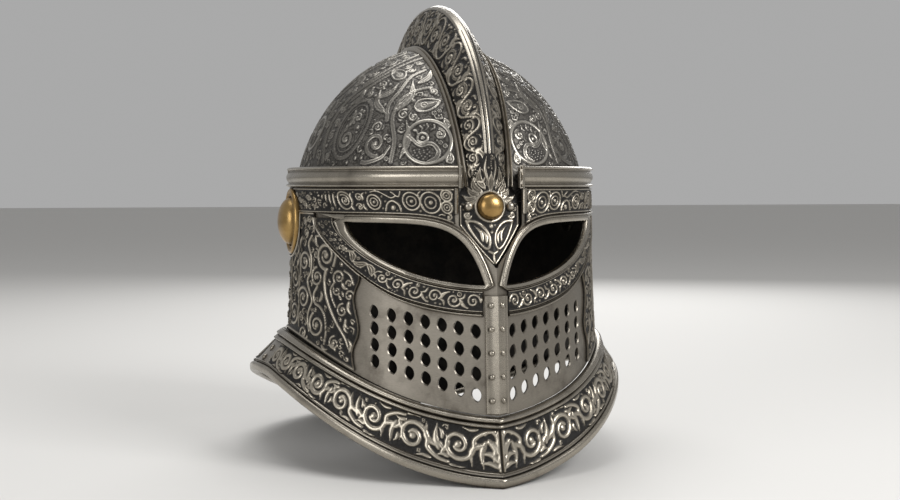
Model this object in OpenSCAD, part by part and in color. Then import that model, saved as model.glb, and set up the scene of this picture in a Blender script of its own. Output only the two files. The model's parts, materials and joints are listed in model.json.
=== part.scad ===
// Knight's close helmet: a combed skull, a pierced visor that lifts on two
// temple pivots, and a flared gorget. Front faces -Y, millimetres.

/* [Skull] */
// Half the skull's width at the pivots
skull_half_w = 104; // [98:1:112]
// Radius of the crown about the pivot axis
crown_r = 125; // [118:1:132]
// Reach of the skull behind the pivot axis
skull_back = 145; // [135:1:155]
// Height of the pivot axis above the base
pivot_z = 165; // [155:1:175]
// Thickness of the steel plates
plate_t = 1.6; // [1.2:0.1:2.2]
// Outward spread of the skull's wall at the neck
neck_flare = 3.4; // [2:0.2:5]
// Height of the skull's edge above the pivots, over the face
face_edge_h = 15; // [10:1:20]

/* [Comb] */
// Rise of the comb's top above the crown
comb_rise = 32; // [20:1:45]
// Reach of the comb's edge in front of the skull
comb_front_out = 5; // [3:0.5:9]
// Reach of the comb's edge behind the skull
comb_back_out = 4; // [2:0.5:10]
// Half the width of the comb's foot at its ends
comb_foot_w = 12; // [9:0.5:14]
// Half the width of the comb's foot at the crown
comb_crown_w = 19; // [15:0.5:22]
// Half the width of the flat edge
comb_edge_w = 2.6; // [1.5:0.1:4]
// Width of the ribs along the comb's foot
rib_w = 4.4; // [3:0.2:5]
// Height of the ribs
rib_h = 2.6; // [1.5:0.1:3.2]

/* [Ornament] */
// Height of the raised ornament on skull and comb
relief_h = 0.9; // [0.5:0.05:1]
// Half the width of its ridges
relief_w = 1.6; // [1.2:0.1:2]

/* [Visor] */
// Gap between skull and visor
visor_gap = 1.4; // [1.2:0.1:2]
// Reach of the keel in front of the visor's round, at the eyes
keel_out = 14; // [13:0.5:18]
// Forward lean of the keel down to the collar
keel_lean = 6; // [3:0.5:10]
// Outward spread of the visor at the collar
face_flare = 6; // [4:0.5:8]
// Height of the visor's upper edge above the pivots
visor_rise = 37; // [35:0.5:39]
// Reach of the visor's rear edge behind the pivots
visor_rear = 8; // [5:0.5:9]
// Reach of the visor's arm beyond the height of its upper edge
arm_over = 3; // [2:0.5:5]
// Gap between the visor's lower edge and the collar
sill_gap = 0.6; // [0.4:0.1:1]

/* [Eyes] */
// Distance of the inner eye corners from the middle
eye_in = 6.5; // [6:0.5:9]
// Distance of the outer eye corners from the middle
eye_out = 85; // [78:1:88]
// Height of the upper eye edge above the pivots
eye_top = 1.5; // [0:0.5:3]
// Depth of the inner eye corner below the pivots
eye_low = 38; // [34:0.5:40]
// Width of the eye rims
eye_rim_w = 5; // [4:0.2:5.4]
// Height of the eye rims
eye_rim_h = 2.4; // [1.6:0.1:3]

/* [Breaths] */
// Width of a breath
breath_w = 6; // [4.5:0.1:6.6]
// Height of a breath
breath_h = 9; // [7:0.2:10]
// Distance of the first column from the middle
breath_first = 12.5; // [12:0.5:15]
// Distance between columns
breath_pitch = 9.6; // [9:0.1:10]
// Columns on each side
breath_cols = 7; // [4:1:7]
// Rows
breath_rows = 4; // [2:1:4]

/* [Trim] */
// Lower edge of the brow band above the pivots
band_low = 24; // [24:0.5:26]
// Half the opening between the band's ends
band_end = 18.5; // [18:0.5:22]
// Half the width of the brow plate
brow_half_w = 20.5; // [18:0.5:21]
// Depth of the brow plate's point below the pivots
brow_point = 26; // [22:1:28]
// Rise of the brow plate's ridge in front of the skull
brow_rise = 6.5; // [5.5:0.5:7]
// Gap between the brow plate and the visor's notch
notch_gap = 0.8; // [0.6:0.1:1.2]
// Radius of the brow boss
brow_boss_r = 7; // [5:0.5:7.5]
// Half the width of the keel strip
keel_strip_w = 7; // [5:0.5:8]
// Thickness of the relief panels and strips
trim_t = 1.2; // [0.8:0.1:1.6]
// Seat of applied pieces on their plates
seat = 0.3; // [0.2:0.05:0.4]

/* [Pivots] */
// Radius of the pivot bolts
bolt_r = 4; // [3:0.1:5]
// Running clearance round the bolts
bolt_fit = 0.05; // [0.02:0.01:0.1]
// Radius of the gilt domes
boss_r = 17; // [13:0.5:18]
// Radius of the gilt rings
ring_r = 23.4; // [21:0.2:23.6]
// Thickness of the gilt rings
ring_t = 2.2; // [1.5:0.1:3]

/* [Gorget] */
// Height of the collar at the keel
collar_front_z = 44; // [42:0.5:48]
// Height of the collar at the sides
collar_side_z = 87; // [82:0.5:90]
// Height of the collar at the nape
collar_back_z = 66; // [60:1:72]
// Rise of the lower edge at the sides
arch = 57; // [48:1:60]
// Flare of the lower edge in front of the collar
flare_front = 9; // [5:1:14]
// Flare of the lower edge behind the collar
flare_back = 21; // [14:1:28]
// Flare of the lower edge beside the collar
flare_side = 14; // [9:1:19]
// Further half width of the lower edge behind the sides
tail_spread = 14; // [8:1:18]
// Radius of the rolled edge
roll_r = 3.6; // [2.8:0.1:4.2]
// Height of the collar moulding
collar_h = 9; // [7:0.5:10]

/* [Lining] */
// Thickness of the leather band
leather_t = 2; // [1.5:0.1:2.5]
// Thickness of the quilted cap
quilt_t = 9; // [7:0.5:11]
// Quilted gores
gores = 12; // [8:1:14]

/* [Hidden] */
$fn = 48;

steel = "silver";
gilt = "goldenrod";
relief = "dimgray";

visor_half_w = skull_half_w + visor_gap + plate_t;
visor_reach = crown_r + visor_gap + plate_t;
visor_back = skull_back + visor_gap + plate_t;
keel_reach = visor_reach + keel_out;
face_h = pivot_z - collar_front_z;
arm_r = visor_rise + arm_over;
brow_ridge = crown_r + brow_rise;
comb_top_z = pivot_z + crown_r + comb_rise;
comb_front = crown_r + comb_front_out;
comb_back = skull_back + comb_back_out;
rim_front = keel_reach + keel_lean + flare_front;
rim_back = visor_back + face_flare + flare_back;
rim_half_w = visor_half_w + face_flare + flare_side;
tail_u = [80, 120];
arch_flat = 2.5;
lap_u = 88;
lap_end_u = 97;
lap_off = plate_t + seat + 0.1;
comb_mid_y = 20;
comb_mid_z = pivot_z + 25;
comb_start = 13;
comb_end = 166;

// Plain helpers
function side(u) = u < 0 ? -1 : 1;
function lerp(a, b, t) = a + (b - a) * t;
function smooth(t) = t <= 0 ? 0 : t >= 1 ? 1 : t * t * (3 - 2 * t);
function steps(from, to, count) = [for (i = [0 : count]) lerp(from, to, i / count)];
function unit(v) = v / norm(v);
function wrap(u) = u > 180 ? u - 360 : u;

// Angle where a straight bow from the keel meets the round of the plan
function bow_turn(reach, keel) = acos(reach / keel);

// Plan point at bearing u, 0 at the keel, and its outward normal
function plan(u, half_w, reach, keel) =
    let (turn = bow_turn(reach, keel), k = abs(u) / turn)
    abs(u) < turn
        ? [side(u) * half_w * sin(turn) * k, lerp(-keel, -reach * cos(turn), k)]
        : [half_w * sin(u), -reach * cos(u)];
function plan_normal(u, half_w, reach, keel) =
    let (turn = bow_turn(reach, keel), v = abs(u) < turn ? side(u) * turn : u)
    u == 0 ? [0, -1 / cos(bow_slope(half_w, reach, keel))] : unit([sin(v) / half_w, -cos(v) / reach]);
function bow_slope(half_w, reach, keel) =
    let (turn = bow_turn(reach, keel)) atan(reach * sin(turn) / (half_w * cos(turn)));
function shift(p, n, off, z) = [p.x + n.x * off, p.y + n.y * off + pivot_y, z];

// Skull surface: bearing u, and e as degrees up the dome or, below zero, mm down the wall
function skull_reach(u) = abs(u) > 90 ? skull_back : crown_r;
function skull_spread(e) = e >= 0 ? 0 : neck_flare * pow(-e / (pivot_z - collar_side_z), 1.6);
function skull_pt(u, e, off) =
    let (s = off + skull_spread(e), c = e > 0 ? cos(e) : 1)
    [(skull_half_w + s) * sin(u) * c,
     -(skull_reach(u) + s) * cos(u) * c + pivot_y,
     pivot_z + (e > 0 ? (crown_r + off) * sin(e) : e)];

// Skull point at a distance x from the middle, at an angle turned over the crown from the front
function crown_pt(x, turn, off) =
    let (k = sqrt(1 - pow(x / (skull_half_w + off), 2)), b = turn > 90 ? skull_back : crown_r)
    [x, -(b + off) * k * cos(turn) + pivot_y, pivot_z + (crown_r + off) * k * sin(turn)];

// Face surface of the visor
function face_drop(z) = max(0, pivot_z - z) / face_h;
function face_spread(z) = face_flare * pow(face_drop(z), 1.6);
function face_w(z) = visor_half_w + face_spread(z);
function face_reach(u, z) = (abs(u) > 90 ? visor_back : visor_reach) + face_spread(z);
function face_keel(z) = keel_reach + keel_lean * face_drop(z);
function face_pt(u, z, off) =
    shift(plan(u, face_w(z), face_reach(u, z), face_keel(z)),
          plan_normal(u, face_w(z), face_reach(u, z), face_keel(z)), off, z);
function face_bearing(x, z) =
    let (turn = bow_turn(face_reach(0, z), face_keel(z)), join = face_w(z) * sin(turn))
    abs(x) < join ? turn * x / join : asin(x / face_w(z));
function face_at(x, h, off) = face_pt(face_bearing(x, pivot_z + h), pivot_z + h, off);

// Gorget: the collar line, the rim line and the flare between them
function collar_z(u) =
    collar_side_z - (collar_side_z - (abs(u) > 90 ? collar_back_z : collar_front_z)) * pow(cos(u), 2);
roll_sides = 8;
roll_flat = roll_r * cos(180 / roll_sides);

// The pivot axis sits where the whole helmet's length is centred
rim_bow = rim_front * (visor_reach + face_flare) / (keel_reach + keel_lean);
rim_miter = 1 / cos(bow_slope(rim_half_w, rim_bow, rim_front));
front_reach = rim_front + (roll_flat - plate_t / 2) * rim_miter;
back_reach = rim_back + roll_flat - lap_off - plate_t / 2;
pivot_y = (front_reach - back_reach) / 2;

function roll_z(u) = max(0, (arch + arch_flat) * pow(sin(u), 2) - arch_flat) + roll_flat;
function rim_z(u) = roll_z(u) + roll_r + seat;
function collar_reach(u) =
    (abs(u) > 90 ? visor_back : visor_reach) + face_flare;
function rim_w(u) = rim_half_w + tail_spread * smooth((abs(u) - tail_u[0]) / (tail_u[1] - tail_u[0]));
function rim_reach(u) = abs(u) > 90 ? rim_back : rim_bow;
function gorget_pt(bearing, t, off) =
    let (u = wrap(bearing),
         f = pow(t, 1.25),
         w = lerp(visor_half_w + face_flare, rim_w(u), f),
         b = lerp(collar_reach(u), rim_reach(u), f),
         k = abs(u) > 90 ? b * 1.01 : lerp(face_keel(collar_front_z), rim_front, f))
    shift(plan(u, w, b, k), plan_normal(u, w, b, k), off, lerp(collar_z(u), rim_z(u), t));
function gorget_normal(u, t) =
    cross(gorget_pt(u + 1, t, 0) - gorget_pt(u - 1, t, 0),
          gorget_pt(u, t - 0.02, 0) - gorget_pt(u, t + 0.02, 0));
function gorget_down(u, d) = d / (collar_z(wrap(u)) - rim_z(wrap(u)));

// Eye opening: upper and lower edge at a distance x from the middle
eye_sweep = 10.5;
function eye_upper(x) = eye_top - (eye_top + eye_low) * exp(-(x - eye_in) / eye_sweep);
function eye_lower(x) =
    let (s = min(1, (x - eye_in) / (eye_out - eye_in)))
    -eye_low + (eye_low + eye_upper(eye_out)) * (1 - pow(1 - s * s, 0.6));
eye_steps = 14;
function eye_x(i) = eye_in + (eye_out - eye_in) * pow(i / eye_steps, 1.5);
function eye_outline() = concat(
    [for (i = [0 : eye_steps]) [eye_x(i), eye_upper(eye_x(i))]],
    [for (i = [eye_steps - 1 : -1 : 1]) [eye_x(i), eye_lower(eye_x(i))]]);
function outward(loop, i) =
    let (n = len(loop), d = loop[(i + 1) % n] - loop[(i + n - 1) % n]) unit([-d.y, d.x]);

// Half the width of the brow plate at height h above the pivots
function brow_w(h) = h >= 0 ? brow_half_w : brow_half_w * pow(max(0, 1 + h / brow_point), 0.9);

// Height of the visor's breaths above the pivots, by column and row
function breath_x(c) = breath_first + c * breath_pitch;
breath_top = -67;
breath_fall = 13.5;
breath_lift = 0.18;
breath_close = 0.0036;
function breath_hgt(c, r) =
    breath_top + breath_lift * (breath_x(c) - breath_first)
    - r * breath_fall * (1 - breath_close * (breath_x(c) - breath_first));

// A closed plate between an outer and an inner grid of points, rows by columns
module plate(outer, inner, ring = false) {
    rows = len(outer);
    cols = len(outer[0]);
    points = concat([for (r = outer) each r], [for (r = inner) each r]);
    far = rows * cols;
    spans = ring ? rows : rows - 1;
    function at(r, c) = (r % rows) * cols + c;
    function quad(a, b, c, d) = [[a, b, c], [a, c, d]];
    skins = [for (r = [0 : spans - 1], c = [0 : cols - 2]) each concat(
        quad(at(r, c), at(r, c + 1), at(r + 1, c + 1), at(r + 1, c)),
        quad(far + at(r, c), far + at(r + 1, c), far + at(r + 1, c + 1), far + at(r, c + 1)))];
    edges = [for (r = [0 : spans - 1]) each concat(
        quad(at(r, 0), at(r + 1, 0), far + at(r + 1, 0), far + at(r, 0)),
        quad(at(r, cols - 1), far + at(r, cols - 1), far + at(r + 1, cols - 1), at(r + 1, cols - 1)))];
    last = rows - 1;
    ends = ring ? [] : [for (c = [0 : cols - 2]) each concat(
        quad(at(0, c), far + at(0, c), far + at(0, c + 1), at(0, c + 1)),
        quad(at(last, c), at(last, c + 1), far + at(last, c + 1), far + at(last, c)))];
    polyhedron(points = points, faces = concat(skins, edges, ends));
}

// A bar through rings of points
module bar(rings, closed = false) {
    count = len(rings);
    sides = len(rings[0]);
    skin = [for (r = [0 : closed ? count - 1 : count - 2], c = [0 : sides - 1])
        let (d = (c + 1) % sides, a = r * sides, b = ((r + 1) % count) * sides)
        each [[a + c, a + d, b + d], [a + c, b + d, b + c]]];
    last = (count - 1) * sides;
    caps = closed ? [] : [[for (c = [sides - 1 : -1 : 0]) c], [for (c = [0 : sides - 1]) last + c]];
    polyhedron(points = [for (r = rings) each r], faces = concat(skin, caps));
}

// A raised ridge through points, each given with the way out of its surface
module ridge(path, closed = false) {
    count = len(path);
    function at(i) = path[closed ? (i + count) % count : min(count - 1, max(0, i))][0];
    rings = [for (i = [0 : count - 1])
        let (p = path[i][0], out = path[i][1], across = relief_w * unit(cross(out, at(i + 1) - at(i - 1))))
        [p - across - relief_foot * out, p + relief_h * out, p + across - relief_foot * out]];
    bar(rings, closed);
}

module mirrored(s) {
    if (s > 0) children();
    else mirror([1, 0, 0]) children();
}

// Turns +Z outwards along the pivot axis on one side
module at_pivot(s) {
    translate([0, pivot_y, pivot_z]) rotate([0, s * 90, 0]) children();
}

// Turns +Z outwards through the brow plate's ridge, at a height above the pivots
module at_brow(h) {
    translate([0, pivot_y, pivot_z]) rotate([90 - asin(h / brow_ridge), 0, 0]) children();
}

// Turns +Z along a surface normal
module facing(p, n) {
    translate(p) rotate([0, acos(n.z / norm(n)), atan2(n.y, n.x)]) children();
}

// A low dome with a flat foot
module dome(r, h) {
    ball = (r * r + h * h) / (2 * h);
    rotate_extrude() intersection() {
        translate([0, h - ball]) circle(r = ball);
        square([r, h]);
    }
}

// Lower edge of the skull: over the face, with a tongue behind the brow plate, and round the nape
tongue_u = 12;
tongue_rise = 7;
tuck = 12;
temple_u = [62, 84];
crown_cap = 88.5;
skull_steps = 44;
function skull_edge(u) =
    let (a = abs(u),
         brow = asin(face_edge_h / crown_r),
         low = collar_z(u) - tuck - pivot_z,
         turn = smooth((a - temple_u[0]) / (temple_u[1] - temple_u[0])))
    a < tongue_u ? lerp(tongue_rise - brow_point, brow, a / tongue_u) : lerp(brow, low, turn);
function skull_rows(u) = let (low = skull_edge(u))
    concat(low < 0 ? [low, low * 0.6, low * 0.25, 0, 7] : steps(low, 12, 4), steps(14, crown_cap, 7));
function skull_skin(off) =
    [for (i = [0 : skull_steps - 1]) let (u = i * 360 / skull_steps - 180)
        [for (e = skull_rows(u)) skull_pt(u, e, off)]];

// Raised ornament on the dome, fused with its plate. Rings: bearing, elevation, radius, length over
// width and turn. Stems: bearings and elevations.
relief_foot = 0.6 * plate_t;
ring_sides = 12;
dome_rings = [[22, 25.6, 16.1, 1, 0], [43.5, 25, 8.6, 1, 0], [58, 31, 14.9, 1.55, 12], [88, 30, 13, 1, 0],
              [118, 27.5, 16.1, 1, 0], [152, 26, 13.3, 1, 0], [100, 56, 13.3, 1, 0], [136, 47, 11.2, 1.55, -20],
              [23, 38.8, 5, 1.6, 70], [44, 54, 5, 1.6, -50]];
dome_stems = [[[36, 19], [35.5, 26], [38, 34], [36, 41], [29, 45]],
              [[70, 19], [74, 30], [71, 42], [58, 52], [42, 61]],
              [[102, 19], [104, 30], [101, 42], [91, 50], [76, 60]],
              [[135, 19], [137, 28], [132, 34]]];
function dome_reach(y) = y > 0 ? skull_back : crown_r;
function dome_dir(p) = let (q = p - [0, pivot_y, pivot_z])
    unit([q.x / skull_half_w, q.y / dome_reach(q.y), q.z / crown_r]);
function dome_spot(d) =
    [[d.x * skull_half_w, pivot_y + d.y * dome_reach(d.y), pivot_z + d.z * crown_r],
     unit([d.x / skull_half_w, d.y / dome_reach(d.y), d.z / crown_r])];
function dome_ring(r) =
    let (c = skull_pt(r[0], r[1], 0), d = dome_dir(c), right = unit(cross([0, 0, 1], d)), up = cross(d, right))
    [for (i = [0 : ring_sides - 1])
        let (a = i * 360 / ring_sides, x = r[2] * cos(a), y = r[2] * r[3] * sin(a))
        dome_spot(dome_dir(c + (x * cos(r[4]) - y * sin(r[4])) * right + (x * sin(r[4]) + y * cos(r[4])) * up))];
function dome_stem(points) = [for (i = [0 : len(points) - 2], k = [0, 0.5])
    let (q = lerp(points[i], points[i + 1], k)) dome_spot(dome_dir(skull_pt(q[0], q[1], 0)))];
module dome_relief() {
    for (r = dome_rings) ridge(dome_ring(r), true);
    for (points = dome_stems) ridge(dome_stem(points));
}

module skull() {
    cap_r = 2 * skull_back * cos(crown_cap);
    color(steel) difference() {
        union() {
            plate(skull_skin(0), skull_skin(-plate_t), true);
            for (s = [-1, 1]) mirrored(s) dome_relief();
            translate([0, pivot_y, pivot_z + crown_r * sin(crown_cap) - plate_t])
                cylinder(r = cap_r, h = plate_t);
        }
        for (s = [-1, 1]) at_pivot(s) cylinder(r = bolt_r + bolt_fit, h = 2 * skull_half_w);
    }
}

// Comb: its edge is an ellipse in front and a fuller oval behind
comb_steps = 26;
comb_full = 0.8;
function comb_w(t) = lerp(comb_foot_w, comb_crown_w, sin(180 * t));
function comb_turn(t) = lerp(comb_start, comb_end, t);
function comb_edge(t) =
    let (g = 180 * t, rise = comb_top_z - comb_mid_z)
    g <= 90
        ? [0, comb_mid_y - (comb_front + comb_mid_y) * cos(g) + pivot_y, comb_mid_z + rise * sin(g)]
        : [0, comb_mid_y + (comb_back - comb_mid_y) * pow(-cos(g), comb_full) + pivot_y,
           comb_mid_z + rise * pow(sin(g), comb_full)];
comb_bulge = 1.5;
function comb_half(t, thin, s) =
    let (w = comb_w(t) - thin,
         foot = crown_pt(s * w, comb_turn(t), seat),
         top = lerp(comb_edge(t), crown_pt(0, comb_turn(t), seat), 2 * thin / comb_height(t)),
         edge = top + [s * comb_edge_w * (thin > 0 ? 0.3 : 1), 0, 0],
         flank = lerp(foot, edge, 0.5) + [s * comb_bulge, 0, 0],
         under = lerp(flank, edge, 0.74),
         bead = lerp(flank, edge, 0.88) + [thin > 0 ? 0 : s * relief_h * smooth(3 * t - 0.3), 0, 0])
    s > 0 ? [foot, flank, under, bead, edge] : [edge, bead, under, flank, foot];
function comb_height(t) = norm(comb_edge(t) - crown_pt(0, comb_turn(t), seat));
function comb_skin(thin) =
    [for (t = steps(0, 1, comb_steps)) concat(comb_half(t, thin, 1), comb_half(t, thin, -1))];

// A waving ridge along each flank of the comb
wave_steps = 24;
wave_reach = [0.36, 0.7];
function comb_wave() = [for (i = [0 : wave_steps])
    let (t = lerp(0.04, 0.97, i / wave_steps), half = comb_half(t, 0, 1), k = 2 * wave_reach[i % 2],
         at = k < 1 ? lerp(half[0], half[1], k) : lerp(half[1], half[4], k - 1))
    [at, [1, 0, 0]]];
module comb() {
    color(relief) union() {
        plate(comb_skin(0), comb_skin(plate_t));
        for (s = [-1, 1]) mirrored(s) ridge(comb_wave());
    }
}

// Mouldings on the skull along the comb's foot
rib_steps = 22;
rib_gap = 0.6;
module comb_rib(s) {
    profile = [[1, 0.9], [0.7, rib_h], [0.3, rib_h], [0, 0.9]];
    function skin(raised) = [for (t = steps(0, 1, rib_steps)) [for (p = profile)
        crown_pt(comb_w(t) + rib_gap + p[0] * rib_w, comb_turn(t), raised ? p[1] : seat)]];
    color(steel) mirrored(s) plate(skin(true), skin(false));
}
module comb_rib_right() { comb_rib(-1); }
module comb_rib_left() { comb_rib(1); }

// Profile of the band: two mouldings with a flat between, as height above its lower edge and relief
band_h = visor_rise - band_low + 1;
bead_h = 4;
band_profile = [[0, 0.9], [bead_h / 2, 2.6], [bead_h, 1.1], [band_h - bead_h, 1.1],
                [band_h - bead_h / 2, 2.4], [band_h, 0.9]];

band_inset = 0.5;
function arm_rear(h) =
    min(visor_rear + arm_lean * (h + arm_low), sqrt(arm_r * arm_r - h * h)) - band_inset;
module brow_band(s) {
    function skin(raised) = [for (t = steps(0, 1, 13)) [for (p = band_profile)
        let (h = band_low + p[0],
             first = face_bearing(band_end + band_inset, pivot_z + h),
             last = 90 + asin(arm_rear(h) / visor_back))
        face_pt(lerp(first, last, t), pivot_z + h, raised ? p[1] : seat)]];
    color(steel) mirrored(s) plate(skin(true), skin(false));
}
module brow_band_right() { brow_band(-1); }
module brow_band_left() { brow_band(1); }

// The band goes on round the back of the skull, clear of the visor's arms
arm_sweep_gap = 1.2;
rear_band_u = 168;
module rear_band(s) {
    function first(h) = 90 + asin(sqrt(pow(arm_r + arm_sweep_gap, 2) - h * h) / skull_back);
    function skin(raised) = [for (t = steps(0, 1, 10)) [for (p = band_profile)
        let (h = band_low + p[0])
        skull_pt(lerp(first(h), rear_band_u, t), asin(h / crown_r), raised ? p[1] : seat)]];
    color(steel) mirrored(s) plate(skin(true), skin(false));
}
module rear_band_right() { rear_band(-1); }
module rear_band_left() { rear_band(1); }

// Brow plate: ridged, on the skull's tongue, below the comb's foot
brow_top = 23.5;
brow_slope = 0.26;
boss_h = 12;
land_h = 0.6;
land_x = crown_r + 2;
module brow_plate() {
    heights = steps(1 - brow_point, brow_top, 10);
    across = steps(1, -1, 6);
    function front(x, h) =
        [x, pivot_y - sqrt(pow(brow_ridge - brow_slope * abs(x), 2) - h * h), pivot_z + h];
    function back(x, h) =
        let (r = crown_r + 2 * seat, lift = max(0, h) / r, span = x / (skull_half_w + seat))
        [x, pivot_y - r * sqrt(1 - span * span - lift * lift), pivot_z + h];
    color(relief) union() {
        plate([for (h = heights) [for (k = across) front(k * brow_w(h), h)]],
              [for (h = heights) [for (k = across) back(k * brow_w(h), h)]]);
        at_brow(boss_h) translate([0, 0, land_x])
            cylinder(r = brow_boss_r + 1, h = brow_ridge + land_h - land_x);
    }
}
module brow_boss() {
    color(gilt) at_brow(boss_h) translate([0, 0, brow_ridge + land_h]) dome(brow_boss_r, 5);
}
bead_r = 3;
bead_x = 14;
module brow_beads() {
    r = brow_ridge - brow_slope * bead_x;
    color(steel) for (s = [-1, 1])
        facing([s * bead_x, pivot_y - sqrt(r * r - boss_h * boss_h), pivot_z + boss_h],
               [s * brow_slope, -cos(asin(boss_h / r)), boss_h / r])
            translate([0, 0, seat]) dome(bead_r, bead_r * 0.8);
}

// Visor: face plate with flat seats at the pivots
visor_steps = 36;
visor_u = 105;
pad_gap = 0.5;
pad_h = 0.6;
pad_r = ring_r - 1.4;
function visor_skin(off) =
    [for (u = steps(-visor_u, visor_u, visor_steps))
        [for (t = steps(0, 1, 6)) face_pt(u, lerp(collar_z(u) + sill_gap, pivot_z + visor_rise, t), off)]];

module breath() {
    round_r = (breath_w * breath_w + breath_h * breath_h) / (4 * breath_w);
    linear_extrude(height = 12, center = true) intersection_for (s = [-1, 1])
        translate([s * (round_r - breath_w / 2), 0]) circle(r = round_r);
}
module breaths() {
    for (s = [-1, 1], c = [0 : breath_cols - 1], r = [0 : breath_rows - 1]) {
        z = pivot_z + breath_hgt(c, r);
        u = face_bearing(s * breath_x(c), z);
        n = plan_normal(u, face_w(z), face_reach(u, z), face_keel(z));
        translate(face_pt(u, z, 0)) rotate([90, 0, atan2(n.x, -n.y)]) breath();
    }
}
module eye_cut() {
    linear_extrude(height = 2 * visor_reach) for (s = [-1, 1])
        polygon([for (p = eye_outline()) [s * p.x, p.y]]);
}
module notch_cut() {
    lower = [for (h = steps(-brow_point - notch_gap, 0, 8)) [brow_w(h) + notch_gap, h]];
    half = concat(lower, [[brow_half_w + notch_gap, band_low], [band_end, band_low],
                          [band_end, 2 * visor_rise]]);
    count = len(half);
    linear_extrude(height = 2 * visor_reach)
        polygon(concat(half, [for (i = [count - 1 : -1 : 0]) [-half[i].x, half[i].y]]));
}
arm_low = 6;
arm_lean = 0.6;
module rear_cut() {
    rotate([90, 0, 90]) linear_extrude(height = 4 * visor_half_w, center = true) union() {
        polygon([[visor_rear, -pivot_z], [visor_rear, -arm_low],
                 [visor_rear + arm_lean * (2 * visor_rise + arm_low), 2 * visor_rise],
                 [2 * visor_back, 2 * visor_rise], [2 * visor_back, -pivot_z]]);
        difference() {
            square([2 * visor_back, 2 * visor_rise]);
            circle(r = arm_r);
        }
    }
}
module visor() {
    color(steel) difference() {
        union() {
            plate(visor_skin(0), visor_skin(-plate_t));
            for (s = [-1, 1]) at_pivot(s) translate([0, 0, skull_half_w + pad_gap])
                cylinder(r = pad_r, h = visor_half_w + pad_h - skull_half_w - pad_gap);
        }
        for (s = [-1, 1]) at_pivot(s) cylinder(r = bolt_r + bolt_fit, h = 2 * visor_half_w);
        translate([0, pivot_y, pivot_z]) {
            rotate([90, 0, 0]) eye_cut();
            rotate([90, 0, 0]) notch_cut();
            rear_cut();
        }
        breaths();
    }
}

// Raised rim round each eye opening
module eye_rim(s) {
    loop = eye_outline();
    foot = 2 * seat;
    profile = [[0.3, foot + 0.5], [1.5, eye_rim_h], [eye_rim_w - 1.2, eye_rim_h],
               [eye_rim_w, foot + 0.5]];
    function skin(raised) = [for (i = [0 : len(loop) - 1]) [for (p = profile)
        let (q = loop[i] + outward(loop, i) * p[0]) face_at(q.x, q.y, raised ? p[1] : foot)]];
    color(steel) mirrored(s) plate(skin(true), skin(false), true);
}
module eye_rim_right() { eye_rim(-1); }
module eye_rim_left() { eye_rim(1); }

// Relief strip between the band and the eyes
frieze_gap = 0.6;
frieze_u = 68;
frieze_low = eye_top + eye_rim_w + frieze_gap;
module brow_frieze(s) {
    function skin(off) = [for (t = steps(0, 1, 12)) [for (h = [frieze_low, band_low - frieze_gap])
        let (z = pivot_z + h, u0 = face_bearing(brow_half_w + notch_gap + frieze_gap, z))
        face_pt(lerp(u0, frieze_u, t), z, off)]];
    color(relief) mirrored(s) plate(skin(seat + trim_t), skin(seat));
}
module brow_frieze_right() { brow_frieze(-1); }
module brow_frieze_left() { brow_frieze(1); }

// Relief strip below each eye
under_eye_h = 11;
under_eye_out = 78;
module under_eye(s) {
    first_x = keel_strip_w + 1;
    function upper(x) = eye_lower(max(x, eye_in)) - eye_rim_w * under_eye_slant(x) - frieze_gap;
    function under_eye_slant(x) = 1 + 0.5 * pow(x / eye_out, 4);
    function skin(off) = [for (x = steps(first_x, under_eye_out, 12)) [for (d = [-under_eye_h, 0])
        face_at(x, upper(x) + d, off)]];
    color(relief) mirrored(s) plate(skin(seat + trim_t), skin(seat));
}
module under_eye_right() { under_eye(-1); }
module under_eye_left() { under_eye(1); }

// Relief panel on each cheek: below the eye, up to the temple and round the pivot ring
cheek_low = 3;
cheek_top = -28;
cheek_gap = 1.7;
cheek_step_u = face_bearing(eye_out + eye_rim_w + cheek_gap, pivot_z);
cheek_reach_u = [cheek_step_u - 10, 92];
cheek_columns = concat(steps(cheek_reach_u[0], cheek_step_u - 1, 3),
                       steps(cheek_step_u + 0.5, cheek_reach_u[1], 12));
ring_gap = 1.5;
function cheek_rise(u) =
    let (y = -face_pt(u, pivot_z, 0).y + pivot_y, clear = ring_r + ring_gap)
    u < cheek_step_u ? cheek_top : y > clear ? frieze_low - ring_gap : -sqrt(clear * clear - y * y);
module cheek_panel(s) {
    function skin(off) = [for (u = cheek_columns) [for (t = steps(0, 1, 2))
        face_pt(u, lerp(collar_z(u) + cheek_low, pivot_z + cheek_rise(u), t), off)]];
    color(relief) mirrored(s) plate(skin(seat + trim_t), skin(seat));
}
module cheek_panel_right() { cheek_panel(-1); }
module cheek_panel_left() { cheek_panel(1); }

// Angled strip down the keel, and its rivets
keel_top = eye_low + eye_rim_w + 1.6;
keel_foot = face_h - 2;
keel_t = 1.4;
module keel_strip() {
    function skin(off) = [for (x = steps(-keel_strip_w, keel_strip_w, 4))
        [for (h = steps(-keel_foot, -keel_top, 4)) face_at(x, h, off)]];
    color(steel) plate(skin(seat + keel_t), skin(seat));
}
rivet_r = 1.7;
module keel_rivets() {
    color(steel) for (s = [-1, 1], h = steps(-keel_foot + 8, -keel_top - 6, 4)) {
        z = pivot_z + h;
        u = face_bearing(s * keel_strip_w / 2, z);
        n = plan_normal(u, face_w(z), face_reach(u, z), face_keel(z));
        facing(face_pt(u, z, 2 * seat + keel_t), [n.x, n.y, 0]) dome(rivet_r, rivet_r * 0.7);
    }
}

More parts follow.
